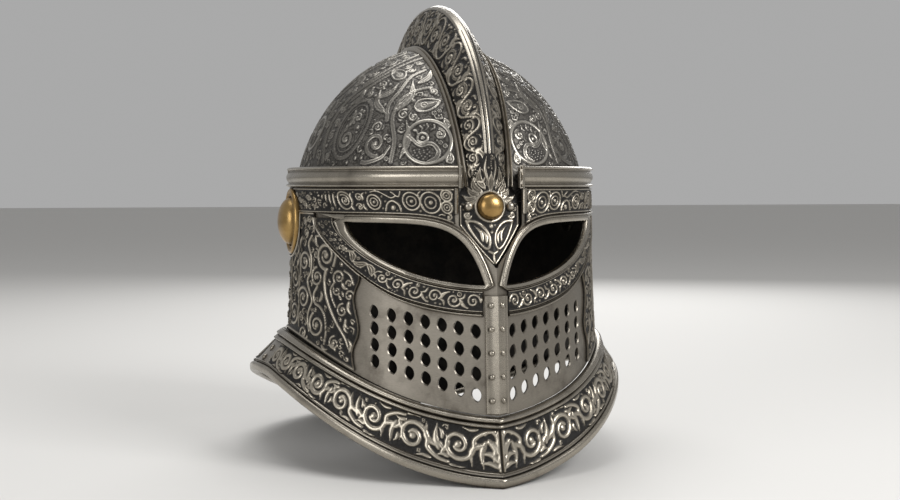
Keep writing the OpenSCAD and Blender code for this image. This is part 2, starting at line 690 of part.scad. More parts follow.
// Pivot hardware: a bolt with a flat inner head, a ring on the visor and a gilt dome
bolt_head_r = 9;
bolt_head_h = 2.4;
bolt_head_gap = 0.9;
boss_gap = 0.3;
boss_rise = 10;
seat_x = visor_half_w + pad_h;
boss_socket = 6;
module pivot_bolt(s) {
    head_x = skull_half_w - plate_t - bolt_head_gap;
    color(steel) at_pivot(s) union() {
        translate([0, 0, head_x - bolt_head_h]) cylinder(r = bolt_head_r, h = bolt_head_h);
        translate([0, 0, head_x - 1])
            cylinder(r = bolt_r, h = seat_x + boss_gap + boss_socket - head_x + 0.5);
    }
}
module pivot_ring(s) {
    color(gilt) at_pivot(s) translate([0, 0, seat_x]) rotate_extrude() difference() {
        translate([boss_r + boss_gap * 2, 0]) square([ring_r - boss_r - boss_gap * 2, ring_t]);
        translate([ring_r, ring_t]) rotate(45) square(ring_t * 0.7, center = true);
    }
}
module pivot_boss(s) {
    color(gilt) at_pivot(s) translate([0, 0, seat_x + boss_gap]) difference() {
        dome(boss_r, boss_rise);
        translate([0, 0, -1]) cylinder(r = bolt_r + bolt_fit, h = boss_socket + 1);
    }
}
module pivot_bolt_right() { pivot_bolt(-1); }
module pivot_bolt_left() { pivot_bolt(1); }
module pivot_ring_right() { pivot_ring(-1); }
module pivot_ring_left() { pivot_ring(1); }
module pivot_boss_right() { pivot_boss(-1); }
module pivot_boss_left() { pivot_boss(1); }

// Gorget plates: the rear one tucks inside the front one at the laps
front_u = steps(-lap_end_u, lap_end_u, 28);
rear_u = steps(lap_u, 360 - lap_u, 24);
rear_trim_end = lap_end_u + 0.5;
rear_trim_u = steps(rear_trim_end, 360 - rear_trim_end, 22);
frieze_ends = [1.5, lap_u - 2, lap_end_u + 3];
flare_rows = [1, 0.66, 0.34, 0.14, 0];
function gorget_skin(us, off) = [for (u = us) [for (t = flare_rows) gorget_pt(u, t, off)]];
module gorget_front() {
    color(steel) plate(gorget_skin(front_u, 0), gorget_skin(front_u, -plate_t));
}
module gorget_rear() {
    color(steel) plate(gorget_skin(rear_u, -lap_off), gorget_skin(rear_u, -lap_off - plate_t));
}

// Double moulding below the collar line
collar_profile = [[1, 0.9], [0.75, 2.8], [0.52, 1.2], [0.27, 3.2], [0.04, 0.9]];
module collar(us, back) {
    function skin(raised) = [for (u = us) [for (p = collar_profile)
        gorget_pt(u, gorget_down(u, p[0] * collar_h), (raised ? p[1] : 2 * seat) - back)]];
    color(steel) plate(skin(true), skin(false));
}
module collar_front() { collar(front_u, 0); }
module collar_rear() { collar(rear_trim_u, lap_off); }

// Relief bands on the flare
gorget_frieze_low = 0.94;
gorget_frieze_gap = 1;
module gorget_frieze(us, back) {
    function skin(off) = [for (u = us) let (top = gorget_down(u, collar_h + gorget_frieze_gap))
        [for (t = steps(gorget_frieze_low, top, 2)) gorget_pt(u, t, off - back)]];
    color(relief) plate(skin(2 * seat + trim_t), skin(2 * seat));
}
module gorget_frieze_side(s) { mirrored(s) gorget_frieze(steps(frieze_ends[0], frieze_ends[1], 13), 0); }
module gorget_frieze_right() { gorget_frieze_side(-1); }
module gorget_frieze_left() { gorget_frieze_side(1); }
module gorget_frieze_rear() { gorget_frieze(steps(frieze_ends[2], 360 - frieze_ends[2], 24), lap_off); }

// Rolled edge below the flare, flat underneath
module roll(us, back) {
    function section(p, n, z) = [for (i = [0 : roll_sides - 1])
        let (a = (i + 0.5) * 360 / roll_sides - 90)
        [p.x + n.x * roll_r * cos(a), p.y + n.y * roll_r * cos(a), z + roll_r * sin(a)]];
    rings = [for (u = us) let (p = gorget_pt(u, 1, -back - plate_t / 2))
        section(p, gorget_pt(u, 1, 1) - gorget_pt(u, 1, 0), roll_z(wrap(u)))];
    color(steel) bar(rings);
}
module edge_front() { roll(front_u, 0); }
module edge_rear() { roll(rear_trim_u, lap_off); }

// Rivets through the laps of the gorget plates
lap_rivet_r = 2.4;
module gorget_rivets() {
    u = (lap_u + lap_end_u) / 2;
    color(steel) for (s = [-1, 1], t = [0.56, 0.84])
        facing(gorget_pt(s * u, t, 2 * seat), gorget_normal(s * u, t))
            dome(lap_rivet_r, lap_rivet_r * 0.6);
}

// Lining: a leather band inside the skull, a quilted cap above it and the band's rivets
band_e = [17, 26];
cap_e = [27.5, 82];
lining_gap = 0.8;
lining_steps = 40;
function lining_ring(count, es, offs) =
    [for (i = [0 : count - 1]) let (u = i * 360 / count)
        [for (j = [0 : len(es) - 1]) skull_pt(wrap(u), es[j], -plate_t - lining_gap - offs(u, j))]];
module lining_band() {
    color("saddlebrown") plate(lining_ring(lining_steps, band_e, function (u, j) 0),
                               lining_ring(lining_steps, band_e, function (u, j) leather_t), true);
}
module lining_cap() {
    count = gores * 3;
    es = steps(cap_e[0], cap_e[1], 5);
    draw = [0.3, 0.85, 1, 1, 0.85, 0.3];
    puff = function (u) 0.55 + 0.45 * abs(sin(gores * u / 2));
    color("linen") plate(lining_ring(count, es, function (u, j) 0),
                         lining_ring(count, es, function (u, j) quilt_t * draw[j] * puff(u)), true);
}
lining_rivet_r = 3;
lining_rivet_count = 10;
module lining_rivets() {
    e = (band_e[0] + band_e[1]) / 2;
    color(steel) for (i = [0 : lining_rivet_count - 1]) {
        u = (i + 0.5) * 360 / lining_rivet_count - 180;
        n = [sin(u) * cos(e) / skull_half_w, -cos(u) * cos(e) / skull_reach(u), sin(e) / crown_r];
        facing(skull_pt(u, e, -plate_t - 2 * lining_gap - leather_t), -n)
            dome(lining_rivet_r, lining_rivet_r / 2);
    }
}

skull();
comb();
comb_rib_right();
comb_rib_left();
rear_band_right();
rear_band_left();
brow_plate();
brow_boss();
brow_beads();
visor();
brow_band_right();
brow_band_left();
brow_frieze_right();
brow_frieze_left();
eye_rim_right();
eye_rim_left();
under_eye_right();
under_eye_left();
cheek_panel_right();
cheek_panel_left();
keel_strip();
keel_rivets();
pivot_bolt_right();
pivot_bolt_left();
pivot_ring_right();
pivot_ring_left();
pivot_boss_right();
pivot_boss_left();
gorget_front();
gorget_rear();
collar_front();
collar_rear();
gorget_frieze_right();
gorget_frieze_left();
gorget_frieze_rear();
edge_front();
edge_rear();
gorget_rivets();
lining_band();
lining_cap();
lining_rivets();
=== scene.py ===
"""Knight's close helmet: carved dome, comb, pierced visor on temple pivots, flared gorget, quilted lining."""
import json
import math
import bpy
import numpy as np
from mathutils import Matrix, Vector


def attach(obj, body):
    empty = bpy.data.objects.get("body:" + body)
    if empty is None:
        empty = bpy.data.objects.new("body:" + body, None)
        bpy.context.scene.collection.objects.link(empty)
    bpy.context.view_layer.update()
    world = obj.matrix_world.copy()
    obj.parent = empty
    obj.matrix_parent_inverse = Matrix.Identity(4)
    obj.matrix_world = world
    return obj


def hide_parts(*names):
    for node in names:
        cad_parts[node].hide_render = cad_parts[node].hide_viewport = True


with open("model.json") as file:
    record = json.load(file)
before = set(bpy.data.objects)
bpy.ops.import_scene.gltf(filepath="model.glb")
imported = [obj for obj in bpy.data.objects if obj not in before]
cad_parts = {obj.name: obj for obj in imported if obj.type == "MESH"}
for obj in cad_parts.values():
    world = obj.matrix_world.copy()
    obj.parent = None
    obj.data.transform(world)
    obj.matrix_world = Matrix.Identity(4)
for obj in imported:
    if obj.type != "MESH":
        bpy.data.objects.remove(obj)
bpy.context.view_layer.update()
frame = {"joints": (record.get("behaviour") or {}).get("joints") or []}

# Sizes in millimetres and degrees, as the helmet was drawn
MM = 0.001
PIVOT_Y, PIVOT_Z = (v / MM for v in frame["joints"][0]["pos_m"][1:])
PLATE, SEAT = 1.6, 0.3
# Skull: half width, reach in front and over the crown, reach behind, flare at the neck
SKULL_W, CROWN, SKULL_BACK, NECK_FLARE = 104, 125, 145, 3.4
# Visor: half width, reach, keel, flare towards the collar, upper and lower edge, and the arms to the pivots
VISOR_W, VISOR_REACH, VISOR_BACK = 107, 128, 148
KEEL, KEEL_LEAN, FACE_FLARE, VISOR_RISE, SILL = 142, 6, 6, 37, 0.6
VISOR_REAR, ARM_R, ARM_LOW, ARM_LEAN, VISOR_END = 8, 40, 6, 0.6, 105
# Gorget: heights of the collar, arch and reach of the rim, its rolled edge, and the lap of front and rear
COLLAR_FRONT, COLLAR_SIDE, COLLAR_BACK = 44, 87, 66
ARCH, RIM_FRONT, RIM_BACK, RIM_W, TAIL = 57, 157, 175, 127, 14
ROLL_R, ROLL_FLAT = 3.6, 3.6 * math.cos(math.pi / 8)
LAP, LAP_END, LAP_OFF = 88, 97, 2
# Brow: the band, the brow plate and its boss and beads, and the frieze
BAND_LOW, BAND_END, BAND_H, BACK_END = 24, 18.5, 14, 171.4
BROW_W, BROW_POINT, BROW_RIDGE, NOTCH = 20.5, 26, 131.5, 0.8
BROW_TOP, BROW_SLOPE, BOSS_H, BEAD_X = 46, 0.26, 12, 14
FRIEZE_LOW, FRIEZE_START, RING_CLEAR = 7.2, 2.4, 24.6
# Eyes: openings and rims
EYE_IN, EYE_OUT, EYE_TOP, EYE_LOW, EYE_SWEEP, RIM_WIDE = 6.5, 85, 1.5, 38, 10.5, 5
CORNER_TIP = 97.5
# Breaths: columns and rows, first place, spacing, upper row, size and lean
BREATH_COLS, BREATH_ROWS, BREATH_FIRST, BREATH_STEP, BREATH_DROP = 7, 4, 12.5, 9.6, 13.5
BREATH_TOP, BREATH_WIDE, BREATH_TALL, BREATH_LEAN = -67, 6.0, 9.0, 12
# Comb: angles of its ends over the crown, its half widths, its outline, and the ribs at its foot
COMB_START, COMB_END, COMB_FOOT, COMB_WIDE = 13, 166, 12, 19
COMB_FRONT, COMB_BACK, COMB_TOP, COMB_MID_Y, COMB_MID_Z = 130, 149, 322, 20, 190
RIB_GAP, RIB_WIDE, RIB_HIGH = 0.6, 4.4, 2.6
# The visor's turned-in lip: nearest to the middle, bearing of its end, room over the dome
LIP_START, LIP_END, LIP_CLEAR = 25.6, 95, 1.9
# Lining: studs and their rise in degrees, and the cap's gores, gap to the skull and stuffing
STUDS, STUD_RISE = 10, 21.5
GORES, CAP_BACK, CAP_SWELL, CAP_PRESSURE, CLOTH_FRAMES = 12, 2.5, 6, 8, 20
FACE_H = PIVOT_Z - COLLAR_FRONT
MIDDLE = np.array([0, PIVOT_Y, PIVOT_Z])
MIRROR = np.array([-1, 1, 1])
SIDES = (("left", False), ("right", True))
draws = np.random.default_rng(7)


# Plain maths, with angles in degrees
def sin(a):
    return np.sin(np.radians(a))


def cos(a):
    return np.cos(np.radians(a))


def mix(a, b, t):
    return a + (b - a) * t


def ease(t):
    """A share that starts and ends gently."""
    t = np.clip(t, 0, 1)
    return t * t * (3 - 2 * t)


def line(first, last, count):
    return np.linspace(first, last, count)


def unit(v):
    return v / np.linalg.norm(v, axis=-1, keepdims=True)


def arrays(*values):
    """The values as float arrays of one shape."""
    return np.broadcast_arrays(*(np.asarray(v, float) for v in values))


def run_along(points):
    """Distance of each point along a path from its first."""
    return np.concatenate([[0], np.cumsum(np.linalg.norm(np.diff(points, axis=0), axis=1))])


def wrap(u):
    """A bearing from 0 to 360 as one from -180 to 180."""
    return np.where(u > 180, u - 360, u)


# Forms of the plates: each takes places on a plate and gives points, moved outwards by off
def bow(u, half_w, reach, keel, off, z):
    """Point of a keeled plan at bearing u and height z."""
    turn = np.degrees(np.arccos(reach / keel))
    flat = np.abs(u) < turn
    side = np.where(u < 0, -1.0, 1.0)
    share = np.abs(u) / turn
    x = np.where(flat, side * half_w * sin(turn) * share, half_w * sin(u))
    y = np.where(flat, -mix(keel, reach * cos(turn), share), -reach * cos(u))
    lean = np.where(flat, side * turn, u)
    nx, ny = sin(lean) / half_w, -cos(lean) / reach
    size = np.hypot(nx, ny)
    slope = np.arctan(reach * sin(turn) / (half_w * cos(turn)))
    nx = np.where(u == 0, 0, nx / size)
    ny = np.where(u == 0, -1 / np.cos(slope), ny / size)
    return np.stack(np.broadcast_arrays(x + nx * off, y + ny * off + PIVOT_Y, z), -1).astype(float)


def skull(u, e, off):
    """Skull at bearing u; e is degrees up the dome or, below zero, millimetres down the wall."""
    u, e, off = arrays(u, e, off)
    spread = off + NECK_FLARE * (np.maximum(-e, 0) / (PIVOT_Z - COLLAR_SIDE)) ** 1.6
    level = np.where(e > 0, cos(e), 1)
    reach = np.where(np.abs(u) > 90, SKULL_BACK, CROWN) + spread
    rise = np.where(e > 0, (CROWN + off) * sin(e), e)
    x, y = (SKULL_W + spread) * sin(u) * level, PIVOT_Y - reach * cos(u) * level
    return np.stack([x, y, PIVOT_Z + rise], -1)


def over_crown(x, turn, off):
    """Skull at a distance x from the middle, turned over the crown from the front."""
    x, turn, off = arrays(x, turn, off)
    k = np.sqrt(1 - (x / (SKULL_W + off)) ** 2)
    reach = np.where(turn > 90, SKULL_BACK, CROWN) + off
    return np.stack([x, PIVOT_Y - reach * k * cos(turn), PIVOT_Z + (CROWN + off) * k * sin(turn)], -1)


def face_sizes(u, z):
    """Half width, reach and keel of the visor at a height z."""
    drop = np.maximum(0, PIVOT_Z - z) / FACE_H
    spread = FACE_FLARE * drop ** 1.6
    reach = np.where(np.abs(u) > 90, VISOR_BACK, VISOR_REACH) + spread
    return VISOR_W + spread, reach, KEEL + KEEL_LEAN * drop


def face(u, z, off):
    """Visor at a bearing u and a height z."""
    u, z, off = arrays(u, z, off)
    return bow(u, *face_sizes(u, z), off, z)


def face_bearing(x, z):
    """Bearing of the visor's point at a distance x from the middle."""
    half_w, reach, keel = face_sizes(0, z)
    turn = np.degrees(np.arccos(reach / keel))
    join = half_w * sin(turn)
    return np.where(np.abs(x) < join, turn * x / join, np.degrees(np.arcsin(np.clip(x / half_w, -1, 1))))


def face_at(x, h, off):
    """Visor at a distance x from the middle and a height h above the pivots."""
    x, h, off = arrays(x, h, off)
    return face(face_bearing(x, PIVOT_Z + h), PIVOT_Z + h, off)


def collar_z(u):
    low = np.where(np.abs(u) > 90, COLLAR_BACK, COLLAR_FRONT)
    return COLLAR_SIDE - (COLLAR_SIDE - low) * cos(u) ** 2


def roll_z(u):
    return ARCH * sin(u) ** 2 + ROLL_FLAT


def rim_z(u):
    return roll_z(u) + ROLL_R + SEAT


def gorget(bearing, t, off):
    """Gorget at a bearing, t from 0 at the collar to 1 at the rim."""
    bearing, t, off = arrays(bearing, t, off)
    u = wrap(bearing)
    f = np.clip(t, 0, 2) ** 1.25
    behind = np.abs(u) > 90
    keel_foot = KEEL + KEEL_LEAN
    half_w = mix(VISOR_W + FACE_FLARE, RIM_W + TAIL * ease((np.abs(u) - 80) / 40), f)
    at_collar = np.where(behind, VISOR_BACK, VISOR_REACH) + FACE_FLARE
    at_rim = np.where(behind, RIM_BACK, RIM_FRONT * (VISOR_REACH + FACE_FLARE) / keel_foot)
    reach = mix(at_collar, at_rim, f)
    keel = np.where(behind, reach * 1.01, mix(keel_foot, RIM_FRONT, f))
    return bow(u, half_w, reach, keel, off, mix(collar_z(u), rim_z(u), t))


def gorget_down(u, d):
    """The gorget's t at a drop of d below the collar."""
    return d / (collar_z(wrap(u)) - rim_z(wrap(u)))


def comb_w(t):
    """Half width of the comb where it meets the skull."""
    return mix(COMB_FOOT, COMB_WIDE, sin(180 * t))


def comb_tip(t):
    """Half width of the comb at its edge."""
    return mix(0.9, 2.2, sin(180 * np.asarray(t)))


def comb_edge(t):
    """Edge of the comb, seen from the side as two quarter curves."""
    g = 180 * np.asarray(t, float)
    rise = COMB_TOP - COMB_MID_Z
    c, s = cos(g), np.clip(sin(g), 0, 1)
    front = g <= 90
    y = np.where(front, COMB_MID_Y - (COMB_FRONT + COMB_MID_Y) * c,
                 COMB_MID_Y + (COMB_BACK - COMB_MID_Y) * np.abs(c) ** 0.8)
    z = COMB_MID_Z + rise * np.where(front, s, s ** 0.8)
    return np.stack([0 * y, y + PIVOT_Y, z], -1)


def comb_flank(t, s, off):
    """Side of the comb: t from its front foot to its rear foot, s from the skull to the edge."""
    t, s, off = arrays(t, s, off)
    foot = over_crown(comb_w(t), mix(COMB_START, COMB_END, t), SEAT)
    top = comb_edge(t)
    top[..., 0] += comb_tip(t)
    p = mix(foot, top, s[..., None])
    belly = 1.5
    p[..., 0] += 4 * belly * s * (1 - s) + off
    return p


def eye_upper(x):
    """Height of the upper lid above the pivots."""
    return EYE_TOP - (EYE_TOP + EYE_LOW) * np.exp(-(x - EYE_IN) / EYE_SWEEP)


def eye_lower(x):
    """Height of the lower lid above the pivots."""
    s = np.clip((x - EYE_IN) / (EYE_OUT - EYE_IN), 0, 1)
    return -EYE_LOW + (EYE_LOW + eye_upper(EYE_OUT)) * (1 - (1 - s * s) ** 0.6)


def eye_outline(count):
    x = EYE_IN + (EYE_OUT - EYE_IN) * line(0, 1, count) ** 1.5
    return np.concatenate([np.stack([x, eye_upper(x)], 1), np.stack([x, eye_lower(x)], 1)[-2:0:-1]])


def outward(loop):
    """Outward directions at the points of a flat loop."""
    d = np.roll(loop, -1, 0) - np.roll(loop, 1, 0)
    return unit(np.stack([-d[:, 1], d[:, 0]], 1))


def brow_w(h):
    """Half width of the brow plate's V."""
    return np.where(h >= 0, BROW_W, BROW_W * np.maximum(0, 1 + h / BROW_POINT) ** 0.9)


# Shader maths
class Value:
    """A socket that adds its Math nodes from Python's operators."""

    def __init__(self, tree, socket):
        self.tree, self.socket = tree, socket

    def math(self, operation, *others, clamp=False):
        values = [o.socket if isinstance(o, Value) else o for o in others]
        return self.tree.node("Math", {"operation": operation, "use_clamp": clamp}, dict(enumerate(values)))

    def __add__(self, other):
        return self.math("ADD", self, other)

    def __sub__(self, other):
        return self.math("SUBTRACT", self, other)

    def __rsub__(self, other):
        return self.math("SUBTRACT", other, self)

    def __mul__(self, other):
        return self.math("MULTIPLY", self, other)

    def clamp(self):
        return self.math("ADD", self, 0.0, clamp=True)

    __radd__ = __add__


class Finish:
    """A material whose nodes all come from one method."""

    def __init__(self, name):
        self.material = bpy.data.materials.new(name)
        self.material.use_nodes = True
        self.nodes = self.material.node_tree.nodes
        self.links = self.material.node_tree.links
        self.shader = self.nodes["Principled BSDF"]

    def node(self, kind, settings=None, inputs=None, output=0):
        made = self.nodes.new("ShaderNode" + kind)
        for key, value in (settings or {}).items():
            setattr(made, key, value)
        for key, value in (inputs or {}).items():
            self.feed(made.inputs[key], value)
        return Value(self, made.outputs[output])

    def feed(self, socket, value):
        """Links a value to a socket, or sets the socket to a number or a colour."""
        if isinstance(value, Value):
            value = value.socket
        if isinstance(value, bpy.types.NodeSocket):
            self.links.new(value, socket)
        elif socket.type == "RGBA" and len(value) == 3:
            socket.default_value = (*value, 1)
        else:
            socket.default_value = value

    def set(self, **values):
        for key, value in values.items():
            self.feed(self.shader.inputs[key.replace("_", " ")], value)
        return self.material

    def place(self, stretch=(1, 1, 1)):
        spot = self.node("TexCoord", output="Object")
        return self.node("Mapping", {}, {"Vector": spot, "Scale": stretch})

    def noise(self, scale, detail=4, rough=0.6, stretch=(1, 1, 1)):
        return self.node("TexNoise", {}, {"Vector": self.place(stretch), "Scale": scale, "Detail": detail,
                                          "Roughness": rough})

    def remap(self, value, low, high, to_low=0.0, to_high=1.0):
        """A value's way from low to high, smoothed, as one from to_low to to_high."""
        inputs = {"Value": value, "From Min": low, "From Max": high, "To Min": to_low, "To Max": to_high}
        return self.node("MapRange", {"interpolation_type": "SMOOTHSTEP"}, inputs)

    def blend(self, share, first, second):
        made = self.nodes.new("ShaderNodeMix")
        made.data_type = "RGBA"
        first_colour, second_colour, mixed_colour = 6, 7, 2
        self.feed(made.inputs["Factor"], share)
        self.feed(made.inputs[first_colour], first)
        self.feed(made.inputs[second_colour], second)
        return Value(self, made.outputs[mixed_colour])

    def attribute(self, name):
        return self.node("Attribute", {"attribute_name": name}, output="Fac")

    def shelter(self, reach):
        """How open a spot is, from 0 in a corner to 1 on a bare face."""
        return self.node("AmbientOcclusion", {"samples": 6}, {"Distance": reach}, output="AO")

    def bump(self, height, depth, strength=1.0):
        return self.node("Bump", {}, {"Height": height, "Distance": depth, "Strength": strength})


# Finishes
def shaded(colour, share):
    """A darker form of a colour."""
    return [c * share for c in colour]


def carved_steel(name, ground, shade_and_line_colour, middle, high, ground_darkening):
    """Carved steel: a ground that can be darkened all over, painted shade round each stroke, dark scored
    lines, and strokes that are bright where they are high, as polished tops and partly a painted highlight.
    """
    f = Finish(name)
    relief, shade_ring = f.attribute("relief"), f.attribute("shade_ring")
    cloud, grain, mottle = f.noise(38, 5), f.noise(900, 3), f.noise(150, 4, 0.65)
    swirl = f.node("TexWave", {"wave_type": "RINGS", "rings_direction": "SPHERICAL"},
                   {"Vector": f.place(), "Scale": 55.0, "Distortion": 22.0, "Detail": 2.0,
                    "Detail Scale": 2.6})
    worn = relief + (mottle - 0.5) * 0.3 + (grain - 0.5) * 0.15
    rise, top_highlight = f.remap(worn, 0.1, 0.6), f.remap(worn, 0.55, 1.0)
    # Painted shade round each stroke: the low ground is darkened where the strokes would shade it. It is also
    # darkened by a set share all over, and with the scored lines it takes the dark colour below.
    dark = f.remap(shade_ring, 0.1, 0.9, ground_darkening, 1.0) * f.remap(relief, 0.1, 0.5, 1.0, 0.0)
    scored = f.remap(swirl, 0.2, 0.5, 0.55, 0.0)
    colour = f.blend(f.remap(cloud, 0.3, 0.7), ground, shaded(ground, 0.6))
    colour = f.blend((dark + scored * (1 - rise)).clamp(), colour, shade_and_line_colour)
    colour = f.blend(rise, colour, f.blend(f.remap(cloud, 0.35, 0.68), middle, shaded(middle, 0.7)))
    # The tops of the strokes take the bright colour: polished high points, and partly a painted highlight.
    colour = f.blend(top_highlight, colour, high)
    rough = f.remap(relief, 0.1, 0.9, 0.52, 0.3) + (cloud - 0.5) * 0.2 + (grain - 0.5) * 0.12
    height = grain * 0.4 + (swirl * 1.2).clamp() * (1 - rise)
    return f.set(Base_Color=colour, Roughness=rough.clamp(), Metallic=(1 - dark * 0.7).clamp(),
                 Normal=f.bump(height, 0.0003, 0.45))


def bright_steel(name, colour, rough, tarnish_and_shade_colour, spread=0.55):
    """Plain steel with clouds of tarnish, painted shade in the nooks and between parts, and fine scratches.
    """
    f = Finish(name)
    cloud, fine = f.noise(30, 6, 0.65), f.noise(420, 4, 0.6, (1, 1, 9))
    scratch = f.noise(160, 2, 0.5, (9, 9, 0.8))
    # Painted shade: the ambient occlusion node darkens nooks and the places between parts towards the tarnish
    # colour.
    nook_shade = f.remap(f.shelter(0.006), 0.35, 0.95, 1.0, 0.0)
    tarnish_and_shade = (f.remap(cloud, 0.48, 0.78) * spread + nook_shade * 0.9).clamp()
    tone = f.blend(f.remap(fine, 0.25, 0.75), colour, shaded(colour, 0.8))
    tone = f.blend(tarnish_and_shade, tone, tarnish_and_shade_colour)
    roughness = (rough + (cloud - 0.5) * 0.22 + (fine - 0.5) * 0.16 + nook_shade * 0.25).clamp()
    return f.set(Base_Color=tone, Roughness=roughness, Metallic=1.0,
                 Normal=f.bump(fine * 0.6 + scratch * 0.4, 0.0002, 0.3))


def gilding(name):
    """Gilt that is rubbed in patches, with painted shade in the nooks."""
    f = Finish(name)
    cloud, fine = f.noise(55, 6, 0.7), f.noise(700, 3)
    nook_shade = f.remap(f.shelter(0.008), 0.4, 0.95, 1.0, 0.0)
    worn = f.remap(cloud, 0.55, 0.8)
    tone = f.blend(f.remap(cloud, 0.3, 0.6), (0.33, 0.203, 0.075), (0.44, 0.29, 0.113))
    tone = f.blend((worn * 0.5).clamp(), tone, (0.28, 0.215, 0.14))
    # Painted shade: nooks and the places between parts are darkened nearly to black.
    tone = f.blend(nook_shade, tone, (0.07, 0.045, 0.02))
    roughness = (0.3 + worn * 0.22 + nook_shade * 0.3 + (fine - 0.5) * 0.15).clamp()
    return f.set(Base_Color=tone, Roughness=roughness, Metallic=1.0,
                 Normal=f.bump(fine + cloud * 2, 0.0002, 0.3))


# Near-black inside of the plates: painted shade, where the helmet's inside lies in shadow.
def dark_inside(name):
    f = Finish(name)
    cloud, grain = f.noise(45, 6, 0.7), f.noise(600, 3)
    tone = f.blend(f.remap(cloud, 0.35, 0.7), (0.012, 0.011, 0.01), (0.05, 0.043, 0.036))
    return f.set(Base_Color=tone, Roughness=(0.6 + (cloud - 0.5) * 0.3).clamp(), Metallic=0.6,
                 Normal=f.bump(grain, 0.0003, 0.4))


def hide(name):
    """Brown leather with a fine cell grain."""
    f = Finish(name)
    cloud = f.noise(60, 5)
    cells = f.node("TexVoronoi", {"feature": "DISTANCE_TO_EDGE"}, {"Vector": f.place(), "Scale": 700.0})
    tone = f.blend(f.remap(cloud, 0.3, 0.7), (0.105, 0.05, 0.024), (0.19, 0.1, 0.05))
    tone = f.blend(f.remap(cells, 0.0, 0.09, 0.6, 0.0), tone, (0.035, 0.018, 0.01))
    return f.set(Base_Color=tone, Roughness=(0.55 + (cloud - 0.5) * 0.25).clamp(), Metallic=0.0,
                 Normal=f.bump(cells, 0.0005, 0.5))


def linen(name):
    """Undyed linen with a plain weave, darker along its seams."""
    f = Finish(name)
    cloud = f.noise(35, 5)
    threads = [f.node("TexWave", {"wave_type": "BANDS", "bands_direction": way},
                      {"Vector": f.place(), "Scale": 330.0, "Distortion": 0.8, "Detail": 1.0})
               for way in "XZ"]
    weave = threads[0] * 0.5 + threads[1] * 0.5
    tone = f.blend(f.remap(cloud, 0.3, 0.7), (0.42, 0.35, 0.25), (0.54, 0.47, 0.36))
    tone = f.blend(f.remap(weave, 0.2, 0.8, 0.35, 0.0), tone, (0.25, 0.2, 0.13))
    tone = f.blend(f.attribute("seam"), tone, (0.16, 0.12, 0.08))
    return f.set(Base_Color=tone, Roughness=(0.85 + (cloud - 0.5) * 0.1).clamp(), Metallic=0.0,
                 Normal=f.bump(weave, 0.0003, 0.4))


# The carved finishes paint shade round their strokes in their dark colour, and put a partly painted highlight
# on the tops of the strokes.
DOME_STEEL = carved_steel("dome_steel", ground=(0.175, 0.164, 0.147), shade_and_line_colour=(0.024, 0.021, 0.018),
                          middle=(0.25, 0.234, 0.208), high=(0.46, 0.432, 0.38), ground_darkening=0.0)
FRIEZE_STEEL = carved_steel("frieze_steel", ground=(0.03, 0.027, 0.023), shade_and_line_colour=(0.008, 0.007, 0.006),
                            middle=(0.22, 0.195, 0.158), high=(0.5, 0.453, 0.374), ground_darkening=0.7)
POLISHED = bright_steel("polished_steel", (0.4, 0.364, 0.306), 0.27, (0.045, 0.036, 0.027))
DULL = bright_steel("breath_steel", (0.285, 0.259, 0.219), 0.36, (0.06, 0.049, 0.038), 0.85)
# A lighter copy of the polished steel, with paler tarnish and paler painted shade, that paints light onto the
# comb's ribs and the brow beads where they fall in shade.
LIT_RIB_STEEL = bright_steel("rib_steel_painted_light", (0.42, 0.382, 0.322), 0.3, (0.17, 0.152, 0.125), 0.4)
GILT = gilding("worn_gilt")
INSIDE = dark_inside("inside_painted_shade")
LEATHER = hide("lining_leather")
LINEN = linen("lining_linen")


# Making pieces
def finished(obj, name, material, body, slot, *nodes):
    """Names a piece, gives it its finish, hangs it on the body it rides, and hides the nodes it stands for.
    """
    obj.name = obj.data.name = name
    if material:
        obj.data.materials.clear()
        obj.data.materials.append(material)
    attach(obj, body)
    if nodes:
        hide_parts(*nodes)
    return obj


def deselect():
    bpy.ops.object.select_all(action="DESELECT")


def only(obj):
    """Makes one piece the selected and active one."""
    deselect()
    obj.select_set(True)
    bpy.context.view_layer.objects.active = obj
    return obj


def editing(obj, *steps):
    """Runs edit-mode steps on one piece."""
    only(obj)
    bpy.ops.object.mode_set(mode="EDIT")
    for step in steps:
        step()
    bpy.ops.object.mode_set(mode="OBJECT")
    return obj


def weld(gap=1e-7):
    """Edit-mode step: merges points that lie together."""
    bpy.ops.mesh.select_all(action="SELECT")
    bpy.ops.mesh.remove_doubles(threshold=gap)


def cap_ends():
    """Edit-mode step: closes the open ends of a bar."""
    bpy.ops.mesh.select_all(action="DESELECT")
    bpy.ops.mesh.select_mode(type="EDGE")
    bpy.ops.mesh.select_non_manifold()
    bpy.ops.mesh.edge_face_add()


def face_out():
    """Edit-mode step: turns every face outwards."""
    bpy.ops.mesh.select_all(action="SELECT")
    bpy.ops.mesh.normals_make_consistent(inside=False)


def laid_grid(points):
    """A grid primitive with its points laid on a form; rows go right and columns up, seen from outside."""
    rows, cols = points.shape[:2]
    deselect()
    bpy.ops.mesh.primitive_grid_add(x_subdivisions=rows - 1, y_subdivisions=cols - 1, size=2)
    obj = bpy.context.object
    spots = np.empty(len(obj.data.vertices) * 3)
    obj.data.vertices.foreach_get("co", spots)
    spots = spots.reshape(-1, 3)
    i = np.rint((spots[:, 0] + 1) / 2 * (rows - 1)).astype(int)
    j = np.rint((spots[:, 1] + 1) / 2 * (cols - 1)).astype(int)
    obj.data.vertices.foreach_set("co", (points[i, j] * MM).ravel())
    obj.data.update()
    return obj


def modify(obj, kind, **settings):
    """Adds a modifier and applies it."""
    only(obj)
    made = obj.modifiers.new(kind.lower(), kind)
    for key, value in settings.items():
        setattr(made, key, value)
    bpy.ops.object.modifier_apply(modifier=made.name)
    return obj


def smooth(obj, angle=35):
    only(obj)
    bpy.ops.object.shade_smooth_by_angle(angle=math.radians(angle))
    return obj


